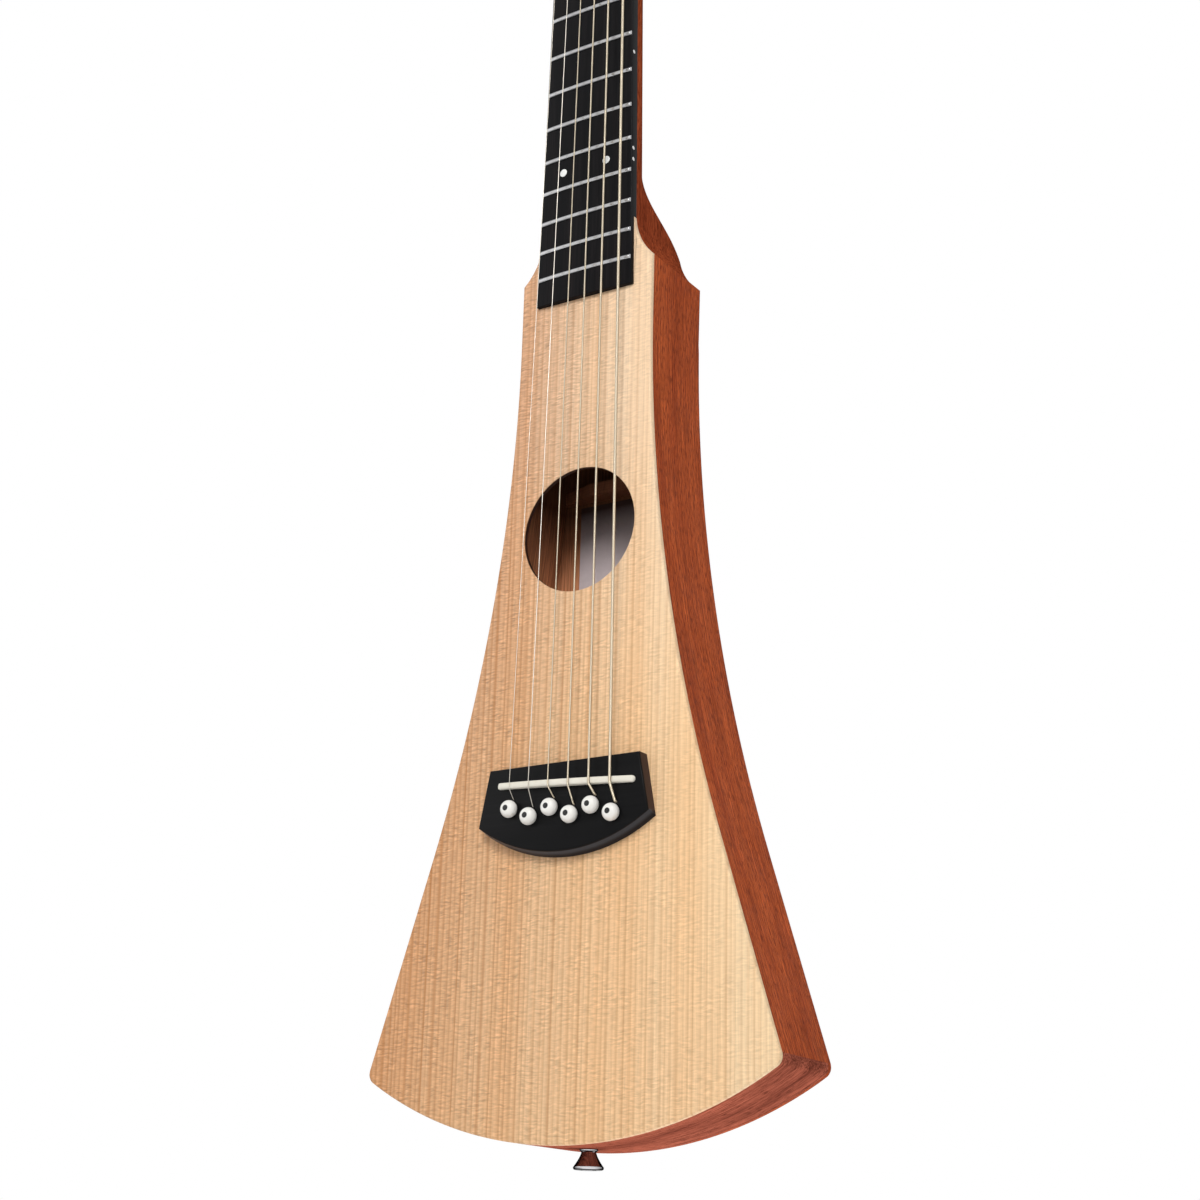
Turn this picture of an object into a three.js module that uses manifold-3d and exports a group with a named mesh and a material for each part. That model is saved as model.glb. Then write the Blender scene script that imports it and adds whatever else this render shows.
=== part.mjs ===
// Travel guitar for a left-handed player: slim flared body, long neck, six strings on open worm-gear tuners.
// Millimetres. X points to the bass side, Y from the soundboard to the back, Z up the neck.
// The origin is on the centre line at the nut's lower face, and the soundboard's face is the plane y = 0.
import * as THREE from 'three';
import { mergeVertices } from 'three/addons/utils/BufferGeometryUtils.js';
import Module from 'manifold-3d';

const wasm = await Module();
wasm.setup();

// Strings and scale
const scale_length = 609.6;
const fret_count = 15;
const board_frets = 16;
const octave_frets = 12;
const string_diameters = [0.3, 0.41, 0.61, 0.81, 1.07, 1.35];
const nut_string_spread = 37.2;
const saddle_string_spread = 54.9;
const treble_compensation = 4.1;
const bass_compensation = 7.3;
const nut_action = 0.5;

// Body outline: it starts beside the fingerboard's lower end and stops below the saddle
const cove_overlap = 39.7;
const cove_radius = 34;
const shoulder_width = 75.6;
const flare_delay = 35.5;
const flare_radius = 850;
const flare_angle = THREE.MathUtils.degToRad(17.5);
const tail_length = 164.1;
const tail_radius = 200;
const corner_radius = 5;

// Body walls
const body_depth = 47;
const soundboard_thickness = 2.4;
const back_thickness = 3;
const side_thickness = 4;
const tail_rim = 5;
const tail_block_width = 50;
const tail_block_thickness = 16;
const soundhole_diameter = 62;
const soundhole_gap = 91.1;

// Gaps between pieces
const glue_line = 0.05;
const slip_gap = 0.3;
const string_gap = 0.1;
const cut_overrun = 5;

// Neck and headstock
const nut_width = 43;
const board_end_width = 55.5;
const neck_depth_at_nut = 15.5;
const neck_depth_at_heel = 17.3;
const heel_lead = 25;
const heel_length = 32;
const neck_block_length = 46;
const head_tilt = THREE.MathUtils.degToRad(12);
const head_length = 118;
const head_width = 55;
const head_top_width = 62;
const head_thickness = 14;
const head_blend = 22;
const head_corner = 5;

// Fingerboard, frets and nut
const board_proud = 3.1;
const board_radius = 406;
const fret_width = 2.2;
const fret_height = 1.0;
const fret_tang = 0.5;
const fret_tang_depth = 1.7;
const fret_inset = 0.4;
const fret_end_bevel = 0.8;
const nut_thickness = 5;
const nut_lip = 0.5;
const nut_slot_fall = THREE.MathUtils.degToRad(20);

// Truss rod in the neck
const truss_width = 6;
const truss_depth = 9;
const truss_start = 10;
const truss_nut_radius = 4.2;
const truss_nut_length = 12;
const truss_key_radius = 2.2;
const truss_key_depth = 8;

// Bridge, saddle and pins
const bridge_thickness = 7;
const bridge_top_width = 81;
const bridge_corner_width = 91.4;
const bridge_margin = 8.7;
const bridge_side_length = 26.6;
const bridge_bow = 14.4;
const bridge_draft = 1.8;
const saddle_length = 74.4;
const saddle_shift = 1.9;
const saddle_thickness = 3;
const saddle_rise = 3.2;
const saddle_seat = 3.5;
const saddle_end_drop = 1.2;
const pin_spread = 55.5;
const pin_distance = 11.1;
const pin_shift = 0.95;
const slot_lean = THREE.MathUtils.degToRad(16);
const pin_stagger = 3.8;
const pin_head_radius = 4.1;
const pin_head_height = 5.2;
const pin_shank_radius = 2.5;
const pin_tip_radius = 2.1;
const pin_length = 17;
const bridge_plate_width = 104;
const bridge_plate_length = 36;
const bridge_plate_thickness = 3;
const bridge_plate_drop = 4;
const ball_radius = 1.9;
const ball_length = 3.5;

// Braces, placed by the gap to the neck block, the soundhole or the tail block
const top_brace_width = 7;
const top_brace_height = 11;
const back_brace_width = 6.5;
const back_brace_height = 9;
const brace_end_height = 3;
const brace_end_length = 18;
const upper_brace_gap = 44.6;
const lower_brace_gap = 23.7;
const upper_back_brace_gap = 52.5;
const lower_back_brace_gap = 86.5;
const brace_side_gap = 0.6;

// Strap button at the tail
const button_length = 8.8;
const button_end_radius = 6.8;
const button_neck_radius = 3.3;
const button_foot_radius = 4.2;
const button_rim = 1.2;
const button_flare_bend = 1.4;
const screw_radius = 1.6;
const screw_head_radius = 3.1;
const screw_head_length = 2.2;
const screw_length = 24;

// Tuning machines: a worm on the knob's shaft turns a wheel on the string post
const gear_module = 0.8;
const wheel_teeth = 14;
const wheel_width = 4;
const worm_radius = 3;
const worm_turns = 3;
const tooth_addendum = 0.7;
const tooth_dedendum = 1;
const thread_thickness = 0.8;
const tooth_thickness = 1;
const flank_run = 0.3;
const post_inset = 19;
const first_post = 24;
const post_pitch = 33;
const post_radius = 3;
const post_proud = 13;
const post_hole_radius = 0.9;
const hub_radius = 4;
const wheel_screw_radius = 2.4;
const wheel_screw_height = 1.2;
const tuner_plate_thickness = 1.2;
const tuner_plate_width = 16;
const tuner_plate_end = 8;
const ear_thickness = 1.5;
const ear_width = 7;
const ear_spacing = 12;
const ear_crest = 2.4;
const shaft_radius = 1.5;
const knob_clearance = 4;
const knob_length = 11;
const knob_width = 16;
const knob_height = 9;
const wrap_turns = 2.2;
const wrap_start = 4.2;
const wrap_space = 0.5;

// Shares of the sizes that they follow, and counts of facets
const crown_shares = [-1, -0.5, 0, 0.5, 1];
const fret_section_shares = [[1, 0], [0.8, 0.6], [0.35, 1]];
const heel_power_share = 0.81;
const neck_roundness_share = 2.75;
const block_roundness_share = 20;
const pin_profile_shares = [[0.62, 0], [0.95, 0.22], [1, 0.5], [0.8, 0.82], [0.42, 1]];
const knob_profile_shares = [[0.35, 0], [0.8, 0.18], [1, 0.5], [0.92, 0.85], [0.6, 1]];
const button_flare_shares = [0, 0.35, 0.7, 1];
const blend_shares = [0, 0.25, 0.5, 0.75, 1];
const heel_squaring_share = 3;
const outline_steps = 12;
const cove_steps = 6;
const corner_steps = 3;
const tail_steps = 14;
const hole_steps = 32;
const section_steps = 14;
const heel_steps = 9;
const small_sides = 10;
const bore_sides = 12;
const wrap_steps = 12;
const string_sides = 6;
const thread_steps = 7;

// Places worked out from the driving sizes
const board_length = fretDistance(board_frets);
const cove_start = board_length - cove_overlap;
const heel_start = cove_start - heel_lead;
const tail_distance = scale_length + tail_length;
const soundhole_distance = board_length + soundhole_gap + soundhole_diameter / 2;
const neck_front = soundboard_thickness + glue_line;
const back_front = body_depth - back_thickness;
const inner_back = back_front - glue_line;
const neck_half_at_cove = boardHalfWidth(-cove_start);
const cove_reach = cove_radius - (shoulder_width / 2 - neck_half_at_cove);
const shoulder_distance = cove_start + Math.sqrt(cove_radius ** 2 - cove_reach ** 2);
const flare_start = shoulder_distance + flare_delay;
const flare_end = flare_start + flare_radius * Math.sin(flare_angle);
const block_end = shoulder_distance + neck_block_length;
const tail_centre = new THREE.Vector2(0, tail_radius - tail_distance);
const mid_depth = body_depth / 2;
const wheel_radius = gear_module * wheel_teeth / 2;
const gear_distance = wheel_radius + worm_radius;
const thread_pitch = Math.PI * gear_module;
const lead_angle = Math.atan(thread_pitch / (2 * Math.PI * worm_radius));
const worm_tip_radius = worm_radius + tooth_addendum;
const plate_back = head_thickness + glue_line + tuner_plate_thickness;
const worm_height = plate_back + worm_tip_radius + slip_gap;
const saddle_slant = Math.atan((bass_compensation - treble_compensation) / saddle_string_spread);
const saddle_distance = scale_length + (bass_compensation + treble_compensation) / 2;
const saddle_top = -(bridge_thickness + saddle_rise);

// Materials
const spruce = finish(0xd9b583, 0.55);
const mahogany = finish(0x8f4a2b, 0.5);
const brace_spruce = finish(0xcfa774, 0.7);
const maple = finish(0xd8bd92, 0.7);
const black_laminate = finish(0x1b1b1d, 0.4);
const bone = finish(0xefe9da, 0.35);
const nickel = finish(0xc9c9c6, 0.3, 1);
const chrome = finish(0xd5d6d8, 0.15, 1);
const steel = finish(0xb9babb, 0.35, 1);
const bronze = finish(0xb48a4e, 0.35, 1);

function finish(color, roughness, metalness = 0) {
  return new THREE.MeshStandardMaterial({ color, roughness, metalness });
}

// Solids

// A closed geometry as a solid whose faces point out, whichever way its profile ran
function solid(geometry) {
  geometry.deleteAttribute('normal');
  geometry.deleteAttribute('uv');
  const merged = mergeVertices(geometry);
  const vertProperties = new Float32Array(merged.attributes.position.array);
  const close = (triVerts) => new wasm.Manifold(new wasm.Mesh({ numProp: 3, vertProperties, triVerts }));
  const triangles = new Uint32Array(merged.index.array);
  const body = close(triangles);
  return body.volume() < 0 ? close(triangles.reverse()) : body;
}

function geometryOf(body) {
  const mesh = body.getMesh();
  const indexed = new THREE.BufferGeometry();
  indexed.setAttribute('position', new THREE.BufferAttribute(mesh.vertProperties, 3));
  indexed.setIndex(new THREE.BufferAttribute(mesh.triVerts, 1));
  const geometry = indexed.toNonIndexed();
  geometry.computeVertexNormals();
  return geometry;
}

function piece(parent, name, body, material, place = [0, 0, 0]) {
  const mesh = new THREE.Mesh(geometryOf(body), material);
  mesh.name = name;
  mesh.position.set(...place);
  parent.add(mesh);
  return mesh;
}

function box(x0, x1, y0, y1, z0, z1) {
  const geometry = new THREE.BoxGeometry(x1 - x0, y1 - y0, z1 - z0);
  geometry.translate((x0 + x1) / 2, (y0 + y1) / 2, (z0 + z1) / 2);
  return solid(geometry);
}

// A straight round bar from one point to another; its end can have a radius of its own.
function rod(from, to, radius, sides, end_radius = radius) {
  const axis = to.clone().sub(from);
  const geometry = new THREE.CylinderGeometry(end_radius, radius, axis.length(), sides);
  geometry.translate(0, axis.length() / 2, 0);
  geometry.applyQuaternion(new THREE.Quaternion().setFromUnitVectors(new THREE.Vector3(0, 1, 0), axis.normalize()));
  geometry.translate(from.x, from.y, from.z);
  return solid(geometry);
}

// An outline in the plane of X and Z, made into a plate between two depths.
function plate(outline, y0, y1, openings = []) {
  const shape = new THREE.Shape(outline);
  shape.holes = openings.map((points) => new THREE.Path(points));
  const geometry = new THREE.ExtrudeGeometry(shape, { depth: y1 - y0, bevelEnabled: false });
  geometry.rotateX(Math.PI / 2);
  geometry.translate(0, y1, 0);
  return solid(geometry);
}

// A closed skin over sections of equal counts; place puts a section's point into space.
function loft(sections, place) {
  const count = sections[0].length;
  const positions = sections.flatMap((section, row) => section.flatMap((point) => place(point, row).toArray()));
  const index = [];
  for (let row = 0; row < sections.length - 1; row += 1) {
    for (let i = 0; i < count; i += 1) {
      const a = row * count + i;
      const b = row * count + (i + 1) % count;
      index.push(a, b, a + count, b, b + count, a + count);
    }
  }
  const last_row = (sections.length - 1) * count;
  const cap = THREE.ShapeUtils.triangulateShape(sections[0], []);
  const wound = cap.map(([a, b, c]) => (THREE.ShapeUtils.area(sections[0]) > 0 ? [a, c, b] : [a, b, c]));
  wound.forEach(([a, b, c]) => index.push(a, b, c, a + last_row, c + last_row, b + last_row));
  const geometry = new THREE.BufferGeometry();
  geometry.setAttribute('position', new THREE.Float32BufferAttribute(positions, 3));
  geometry.setIndex(index);
  return solid(geometry);
}

// A round tube along points; each point has its own radius.
function tube(points, radii, sides) {
  const tangents = points.map((point, i) => {
    const before = points[Math.max(i - 1, 0)];
    const after = points[Math.min(i + 1, points.length - 1)];
    return after.clone().sub(before).normalize();
  });
  const frame = new THREE.Vector3(1, 0, 0).cross(tangents[0]).normalize();
  const rings = [];
  points.forEach((point, i) => {
    if (i > 0) {
      const swing = new THREE.Quaternion().setFromUnitVectors(tangents[i - 1], tangents[i]);
      frame.applyQuaternion(swing).normalize();
    }
    const across = tangents[i].clone().cross(frame);
    rings.push({ point, frame: frame.clone(), across, radius: radii[i] });
  });
  const section = arc(new THREE.Vector2(), 1, 0, 2 * Math.PI, sides).slice(0, -1);
  return loft(rings.map(() => section), (p, row) => rings[row].point.clone()
    .addScaledVector(rings[row].frame, p.x * rings[row].radius)
    .addScaledVector(rings[row].across, p.y * rings[row].radius));
}

// A revolved profile of radius and height, with the height along Z.
function turned(profile, sides) {
  const geometry = new THREE.LatheGeometry(profile.map(([r, h]) => new THREE.Vector2(r, h)), sides);
  geometry.rotateX(Math.PI / 2);
  return solid(geometry);
}

function arc(centre, radius, start, end, steps) {
  return Array.from({ length: steps + 1 }, (_, i) => {
    const angle = start + (end - start) * i / steps;
    return new THREE.Vector2(centre.x + radius * Math.cos(angle), centre.y + radius * Math.sin(angle));
  });
}

function mirrored(points) {
  return points.map((point) => new THREE.Vector2(-point.x, point.y)).reverse();
}

function smooth(t) {
  const s = THREE.MathUtils.clamp(t, 0, 1);
  return s * s * (3 - 2 * s);
}

// Outlines and heights

function fretDistance(number) {
  return scale_length * (1 - 2 ** (-number / octave_frets));
}

function boardHalfWidth(z) {
  return (nut_width + (board_end_width - nut_width) * (-z / fretDistance(board_frets))) / 2;
}

function boardSurface(x) {
  return -board_proud + board_radius - Math.sqrt(board_radius ** 2 - x ** 2);
}

function coveHalfWidth(z) {
  const drop = Math.min(Math.max(-z - cove_start, 0), shoulder_distance - cove_start);
  return neck_half_at_cove + cove_radius - Math.sqrt(cove_radius ** 2 - drop ** 2);
}

// The flare's outer edge and its direction at a distance below the nut.
function flareAt(distance) {
  const run = THREE.MathUtils.clamp(distance - flare_start, 0, flare_end - flare_start);
  const bend = Math.asin(run / flare_radius);
  const past = Math.max(distance - flare_end, 0);
  const x = shoulder_width / 2 + flare_radius * (1 - Math.cos(bend)) + past * Math.tan(flare_angle);
  return { point: new THREE.Vector2(x, -distance), inward: new THREE.Vector2(-Math.cos(bend), -Math.sin(bend)) };
}

// Where a line at an inset from the straight flare meets a circle about the tail's centre.
function flareMeets(inset, radius) {
  const edge = flareAt(flare_end);
  const start = edge.point.clone().addScaledVector(edge.inward, inset);
  const along = new THREE.Vector2(Math.sin(flare_angle), -Math.cos(flare_angle));
  const offset = start.clone().sub(tail_centre);
  const half_b = offset.dot(along);
  const travel = -half_b + Math.sqrt(half_b ** 2 - offset.lengthSq() + radius ** 2);
  return start.addScaledVector(along, travel);
}

const corner_centre = flareMeets(corner_radius, tail_radius - corner_radius);
const flare_stop = -corner_centre.y + corner_radius * Math.sin(flare_angle) * -1;
const corner_end_angle = Math.atan2(corner_centre.y - tail_centre.y, corner_centre.x);

function coveCurve() {
  return Array.from({ length: cove_steps + 1 }, (_, i) => {
    const z = -(cove_start + (shoulder_distance - cove_start) * i / cove_steps);
    return new THREE.Vector2(coveHalfWidth(z), z);
  });
}

function flareDistances() {
  const bend = Array.from({ length: outline_steps + 1 }, (_, i) => flare_start
    + (flare_end - flare_start) * i / outline_steps);
  return [shoulder_distance, ...bend, flare_stop];
}

function flareCurve(inset = 0) {
  return flareDistances().map((distance) => {
    const edge = flareAt(distance);
    return edge.point.addScaledVector(edge.inward, inset);
  });
}

function cornerCurve() {
  return arc(corner_centre, corner_radius, flare_angle, corner_end_angle, corner_steps).slice(1);
}

function tailCurve(radius, end_angle) {
  return arc(tail_centre, radius, end_angle, -Math.PI - end_angle, tail_steps);
}

function bodyOutline(upper) {
  const side = [...upper, ...flareCurve().slice(1), ...cornerCurve()];
  return [...side, ...tailCurve(tail_radius, corner_end_angle).slice(1, -1), ...mirrored(side)];
}

// Turned frame of the saddle, with X along it and the origin midway between the outer strings.
const saddle_frame = new THREE.Matrix4().makeRotationY(saddle_slant).setPosition(0, 0, -saddle_distance);

function saddlePoint(x, y, z) {
  return new THREE.Vector3(x, y, z).applyMatrix4(saddle_frame);
}

function inSaddleFrame(body) {
  return body.transform(saddle_frame.elements);
}

function stringShare(index) {
  return index / (string_diameters.length - 1) - 0.5;
}

function pinPlace(index) {
  const row = pin_distance + (index % 2) * pin_stagger;
  return saddlePoint(pin_spread * stringShare(index) + pin_shift, 0, -row);
}

function stringSlotPlace(index) {
  const reach = pin_head_radius + string_diameters[index] / 2 + slip_gap;
  return pinPlace(index).add(new THREE.Vector3(reach * Math.sin(slot_lean), 0, reach * Math.cos(slot_lean)));
}

// The bores and string slots that go through the bridge, the soundboard and the bridge plate
function pinBores(y0, y1) {
  const cuts = string_diameters.map((diameter, index) => {
    const pin = pinPlace(index);
    const slot = stringSlotPlace(index);
    const half = diameter / 2 + slip_gap;
    const bore = rod(new THREE.Vector3(pin.x, y0, pin.z), new THREE.Vector3(pin.x, y1, pin.z),
      pin_shank_radius + slip_gap, bore_sides);
    return bore.add(box(slot.x - half, slot.x + half, y0, y1, pin.z, slot.z + half));
  });
  return cuts.reduce((all, cut) => all.add(cut));
}

// Body

const guitar = new THREE.Group();
const head = new THREE.Group();
head.position.set(0, neck_front, nut_thickness);
head.rotation.x = -head_tilt;
head.updateMatrix();
guitar.add(head);

function soundboard() {
  const hole = arc(new THREE.Vector2(0, -soundhole_distance), soundhole_diameter / 2, 0, 2 * Math.PI, hole_steps);
  const whole = plate(bodyOutline(coveCurve()), 0, soundboard_thickness, [hole.slice(0, -1)]);
  const board_end = board_length + glue_line;
  const board_print = plate([
    new THREE.Vector2(boardHalfWidth(cut_overrun) + glue_line, cut_overrun),
    new THREE.Vector2(boardHalfWidth(-board_end) + glue_line, -board_end),
    new THREE.Vector2(-boardHalfWidth(-board_end) - glue_line, -board_end),
    new THREE.Vector2(-boardHalfWidth(cut_overrun) - glue_line, cut_overrun),
  ], -cut_overrun, cut_overrun + soundboard_thickness);
  return whole.subtract(board_print).subtract(pinBores(-cut_overrun, soundboard_thickness + cut_overrun));
}

function backPlate() {
  const top = flareAt(shoulder_distance + glue_line).point;
  return plate(bodyOutline([top]), back_front, body_depth);
}

function sideStrip(side) {
  const distances = flareDistances();
  distances[0] += glue_line;
  distances[distances.length - 1] -= glue_line;
  const edge = (inset) => distances.map((distance) => {
    const place = flareAt(distance);
    return place.point.addScaledVector(place.inward, inset);
  });
  const right = [...edge(0), ...edge(side_thickness).reverse()];
  const outline = side > 0 ? right : mirrored(right);
  return plate(outline, neck_front, inner_back);
}

function tailBlock() {
  const edge = flareAt(flare_stop);
  const seam = edge.point.clone().addScaledVector(edge.inward, side_thickness);
  const inner_corner = flareMeets(side_thickness, tail_radius - tail_rim);
  const inner_angle = Math.atan2(inner_corner.y - tail_centre.y, inner_corner.x);
  const outer = [edge.point, ...cornerCurve(), ...tailCurve(tail_radius, corner_end_angle).slice(1, -1)];
  const inner = [seam, inner_corner, ...tailCurve(tail_radius - tail_rim, inner_angle).slice(1, -1)];
  const loop = [...outer, ...mirrored([edge.point, ...cornerCurve()])];
  const back = [...inner, ...mirrored([seam, inner_corner])].reverse();
  const rim = plate([...loop, ...back], neck_front, inner_back);
  const floor = tail_rim / 2 - tail_distance;
  const half = tail_block_width / 2;
  const block = box(-half, half, neck_front, inner_back, floor, tail_block_thickness - tail_distance);
  const screw = rod(new THREE.Vector3(0, mid_depth, -tail_distance - cut_overrun),
    new THREE.Vector3(0, mid_depth, tail_block_thickness + cut_overrun - tail_distance), screw_radius + slip_gap, bore_sides);
  return rim.add(block.intersect(plate(bodyOutline([flareAt(shoulder_distance).point]), 0, body_depth))).subtract(screw);
}

// A bar across the body with both ends shaved down; start is the distance of its upper side.
function brace(start, width, seat, height, direction) {
  const reach = flareAt(start).point.x - side_thickness / Math.cos(flare_angle) - brace_side_gap;
  const slope = reach - brace_end_length;
  const section = [
    [-reach, 0], [-reach, brace_end_height], [-slope, height],
    [slope, height], [reach, brace_end_height], [reach, 0],
  ].map(([x, y]) => new THREE.Vector2(x, y));
  const ends = [-start - width, -start];
  return loft(ends.map(() => section), (p, row) => new THREE.Vector3(p.x, seat + direction * p.y, ends[row]));
}

function topBrace(start) {
  return brace(start, top_brace_width, neck_front, top_brace_height, 1);
}

function backBrace(start) {
  return brace(start, back_brace_width, inner_back, back_brace_height, -1);
}

function bridgePlate() {
  const front = soundboard_thickness + glue_line;
  const middle = -saddle_distance - pin_distance - bridge_plate_drop;
  const whole = box(-bridge_plate_width / 2, bridge_plate_width / 2, front, front + bridge_plate_thickness,
    middle - bridge_plate_length / 2, middle + bridge_plate_length / 2);
  return whole.subtract(pinBores(-cut_overrun, front + bridge_plate_thickness + cut_overrun));
}

// Neck

// Half a superellipse under a flat front: round under the strings, square at the heel block.
function neckSection(half_width, front, back, roundness) {
  return Array.from({ length: section_steps + 1 }, (_, i) => {
    const angle = Math.PI * i / section_steps;
    const x = Math.sign(Math.cos(angle)) * Math.abs(Math.cos(angle)) ** (2 / roundness);
    const y = Math.sin(angle) ** (2 / roundness);
    return new THREE.Vector2(half_width * x, front + (back - front) * y);
  });
}

function shaftDepth(distance) {
  return neck_depth_at_nut + (neck_depth_at_heel - neck_depth_at_nut) * Math.min(distance / heel_start, 1);
}

function shaftRing(distance) {
  const t = THREE.MathUtils.clamp((distance - heel_start) / heel_length, 0, 1);
  const deepening = smooth(t ** heel_power_share);
  const squaring = t ** heel_squaring_share;
  const depth = shaftDepth(distance) + (body_depth - neck_depth_at_heel) * deepening;
  const roundness = neck_roundness_share + (block_roundness_share - neck_roundness_share) * squaring;
  const half = distance > cove_start ? coveHalfWidth(-distance) : boardHalfWidth(-distance);
  return {
    section: neckSection(half, neck_front, depth, roundness),
    place: (p) => new THREE.Vector3(p.x, p.y, -distance),
  };
}

function headRing(height) {
  const t = height / head_blend;
  const half = nut_width / 2 + (head_width - nut_width) / 2 * smooth(t);
  const depth = shaftDepth(0) - neck_front + (head_thickness - shaftDepth(0) + neck_front) * smooth(t);
  const roundness = neck_roundness_share + (block_roundness_share - neck_roundness_share) * t ** 2;
  return {
    section: neckSection(half, 0, depth, roundness),
    place: (p) => headPoint(p.x, p.y, height),
  };
}

function headPoint(x, y, z) {
  return new THREE.Vector3(x, y, z).applyMatrix4(head.matrix);
}

function headPlate() {
  const rise = head_length - head_corner;
  const corner = new THREE.Vector2(head_top_width / 2 - head_corner, rise);
  const side = [
    new THREE.Vector2(head_width / 2, head_blend - glue_line),
    ...arc(corner, head_corner, 0, Math.PI / 2, corner_steps),
  ];
  return plate([...side, ...mirrored(side)], 0, head_thickness).transform(head.matrix.elements);
}

function tunerPlaces() {
  const rows = Array.from({ length: string_diameters.length / 2 }, (_, i) => first_post + post_pitch * i);
  return string_diameters.map((_, index) => {
    const side = index < rows.length ? -1 : 1;
    const row = side < 0 ? index : string_diameters.length - 1 - index;
    return { side, x: side * post_inset, z: rows[row] };
  });
}

function neck() {
  const heel = Array.from({ length: heel_steps }, (_, i) => heel_start
    + (shoulder_distance - heel_start) * (1 - i / heel_steps));
  const blend = blend_shares.map((t_share) => t_share * head_blend);
  const rings = [...[...heel, heel_start, heel_start / 2, 0].map(shaftRing), ...blend.map(headRing)];
  let body = loft(rings.map((ring) => ring.section), (p, row) => rings[row].place(p));
  const inner_half = shoulder_width / 2 - side_thickness - glue_line;
  body = body.add(box(-inner_half, inner_half, neck_front, inner_back, -block_end, glue_line - shoulder_distance));
  body = body.add(headPlate());
  const slot_half = truss_width / 2 + slip_gap;
  body = body.subtract(box(-slot_half, slot_half, neck_front - cut_overrun, neck_front + truss_depth + slip_gap,
    -block_end - cut_overrun, -truss_start));
  tunerPlaces().forEach(({ x, z }) => {
    body = body.subtract(rod(headPoint(x, -cut_overrun, z), headPoint(x, head_thickness + cut_overrun, z),
      post_radius + slip_gap, bore_sides));
  });
  return body;
}

function trussRod() {
  return box(-truss_width / 2, truss_width / 2, neck_front + slip_gap, neck_front + truss_depth,
    -block_end, -truss_start - slip_gap);
}

function trussNut() {
  const y = neck_front + truss_depth / 2;
  const start = -block_end - glue_line;
  const end = start - truss_nut_length;
  const barrel = rod(new THREE.Vector3(0, y, start), new THREE.Vector3(0, y, end), truss_nut_radius, bore_sides);
  const key = rod(new THREE.Vector3(0, y, end + truss_key_depth), new THREE.Vector3(0, y, end - cut_overrun),
    truss_key_radius, 6);
  return barrel.subtract(key);
}

// Fingerboard, frets, nut

function crownRow(half) {
  return crown_shares.map((share) => share * half);
}

function fingerboard() {
  const bottom = soundboard_thickness;
  const ends = [0, -board_length];
  const sections = ends.map((z) => {
    const half = boardHalfWidth(z);
    return [...crownRow(half).map((x) => new THREE.Vector2(x, boardSurface(x))),
      new THREE.Vector2(half, bottom), new THREE.Vector2(-half, bottom)];
  });
  const board = loft(sections, (p, row) => new THREE.Vector3(p.x, p.y, ends[row]));
  return fretNumbers().reduce((body, number) => body.subtract(fretSlot(number)), board);
}

function fretNumbers() {
  return Array.from({ length: fret_count }, (_, i) => i + 1);
}

// A cross-section swept over the board's crown through rows across it; its end faces can lean in.
function acrossBoard(number, section, rows, lean) {
  const z = -fretDistance(number);
  const half = boardHalfWidth(z);
  return loft(rows.map(() => section), (p, row) => {
    const is_end = row === 0 || row === rows.length - 1;
    const shift = is_end ? -Math.sign(rows[row]) * lean * Math.max(p.y, 0) : 0;
    const surface = boardSurface(Math.min(Math.abs(rows[row]), half));
    return new THREE.Vector3(rows[row] + shift, surface - p.y, z + p.x);
  });
}

function fretSlot(number) {
  const half = fret_tang / 2 + glue_line;
  const depth = fret_tang_depth + 2 * glue_line;
  const section = [[-half, cut_overrun], [half, cut_overrun], [half, -depth], [-half, -depth]];
  const edge = boardHalfWidth(-fretDistance(number));
  const rows = [-edge - cut_overrun, ...crownRow(edge), edge + cut_overrun];
  return acrossBoard(number, section.map(([x, y]) => new THREE.Vector2(x, y)), rows, 0);
}

function fret(number) {
  const lift = glue_line;
  const crown = fret_section_shares.map(([x, y]) => new THREE.Vector2(x * fret_width / 2,
    lift + y * (fret_height - lift)));
  const section = [...crown, ...mirrored(crown),
    new THREE.Vector2(-fret_tang / 2, lift), new THREE.Vector2(-fret_tang / 2, -fret_tang_depth),
    new THREE.Vector2(fret_tang / 2, -fret_tang_depth), new THREE.Vector2(fret_tang / 2, lift)];
  const edge = boardHalfWidth(-fretDistance(number));
  const rows = [fret_inset - edge, ...crownRow(edge).slice(1, -1), edge - fret_inset];
  return acrossBoard(number, section, rows, fret_end_bevel / fret_height);
}

// Height of a string's lower side over the nut and over the saddle
function stringAtNut(index) {
  const x = nut_string_spread * stringShare(index);
  return new THREE.Vector3(x, boardSurface(x) - fret_height - nut_action, 0);
}

function stringAtSaddle(index) {
  const x = saddle_string_spread * stringShare(index);
  return saddlePoint(x, saddle_top + boardSurface(x) + board_proud, 0);
}

function nut() {
  const half = nut_width / 2;
  const rise = fret_height + nut_action + nut_lip;
  const top = crownRow(half).map((x) => new THREE.Vector2(x, boardSurface(x) - rise));
  const section = [...top, new THREE.Vector2(half, soundboard_thickness),
    new THREE.Vector2(-half, soundboard_thickness)];
  const ends = [glue_line, nut_thickness];
  const body = loft(ends.map(() => section), (p, row) => new THREE.Vector3(p.x, p.y, ends[row]));
  return string_diameters.reduce((left, diameter, index) => left.subtract(nutSlot(index, diameter)), body);
}

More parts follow.
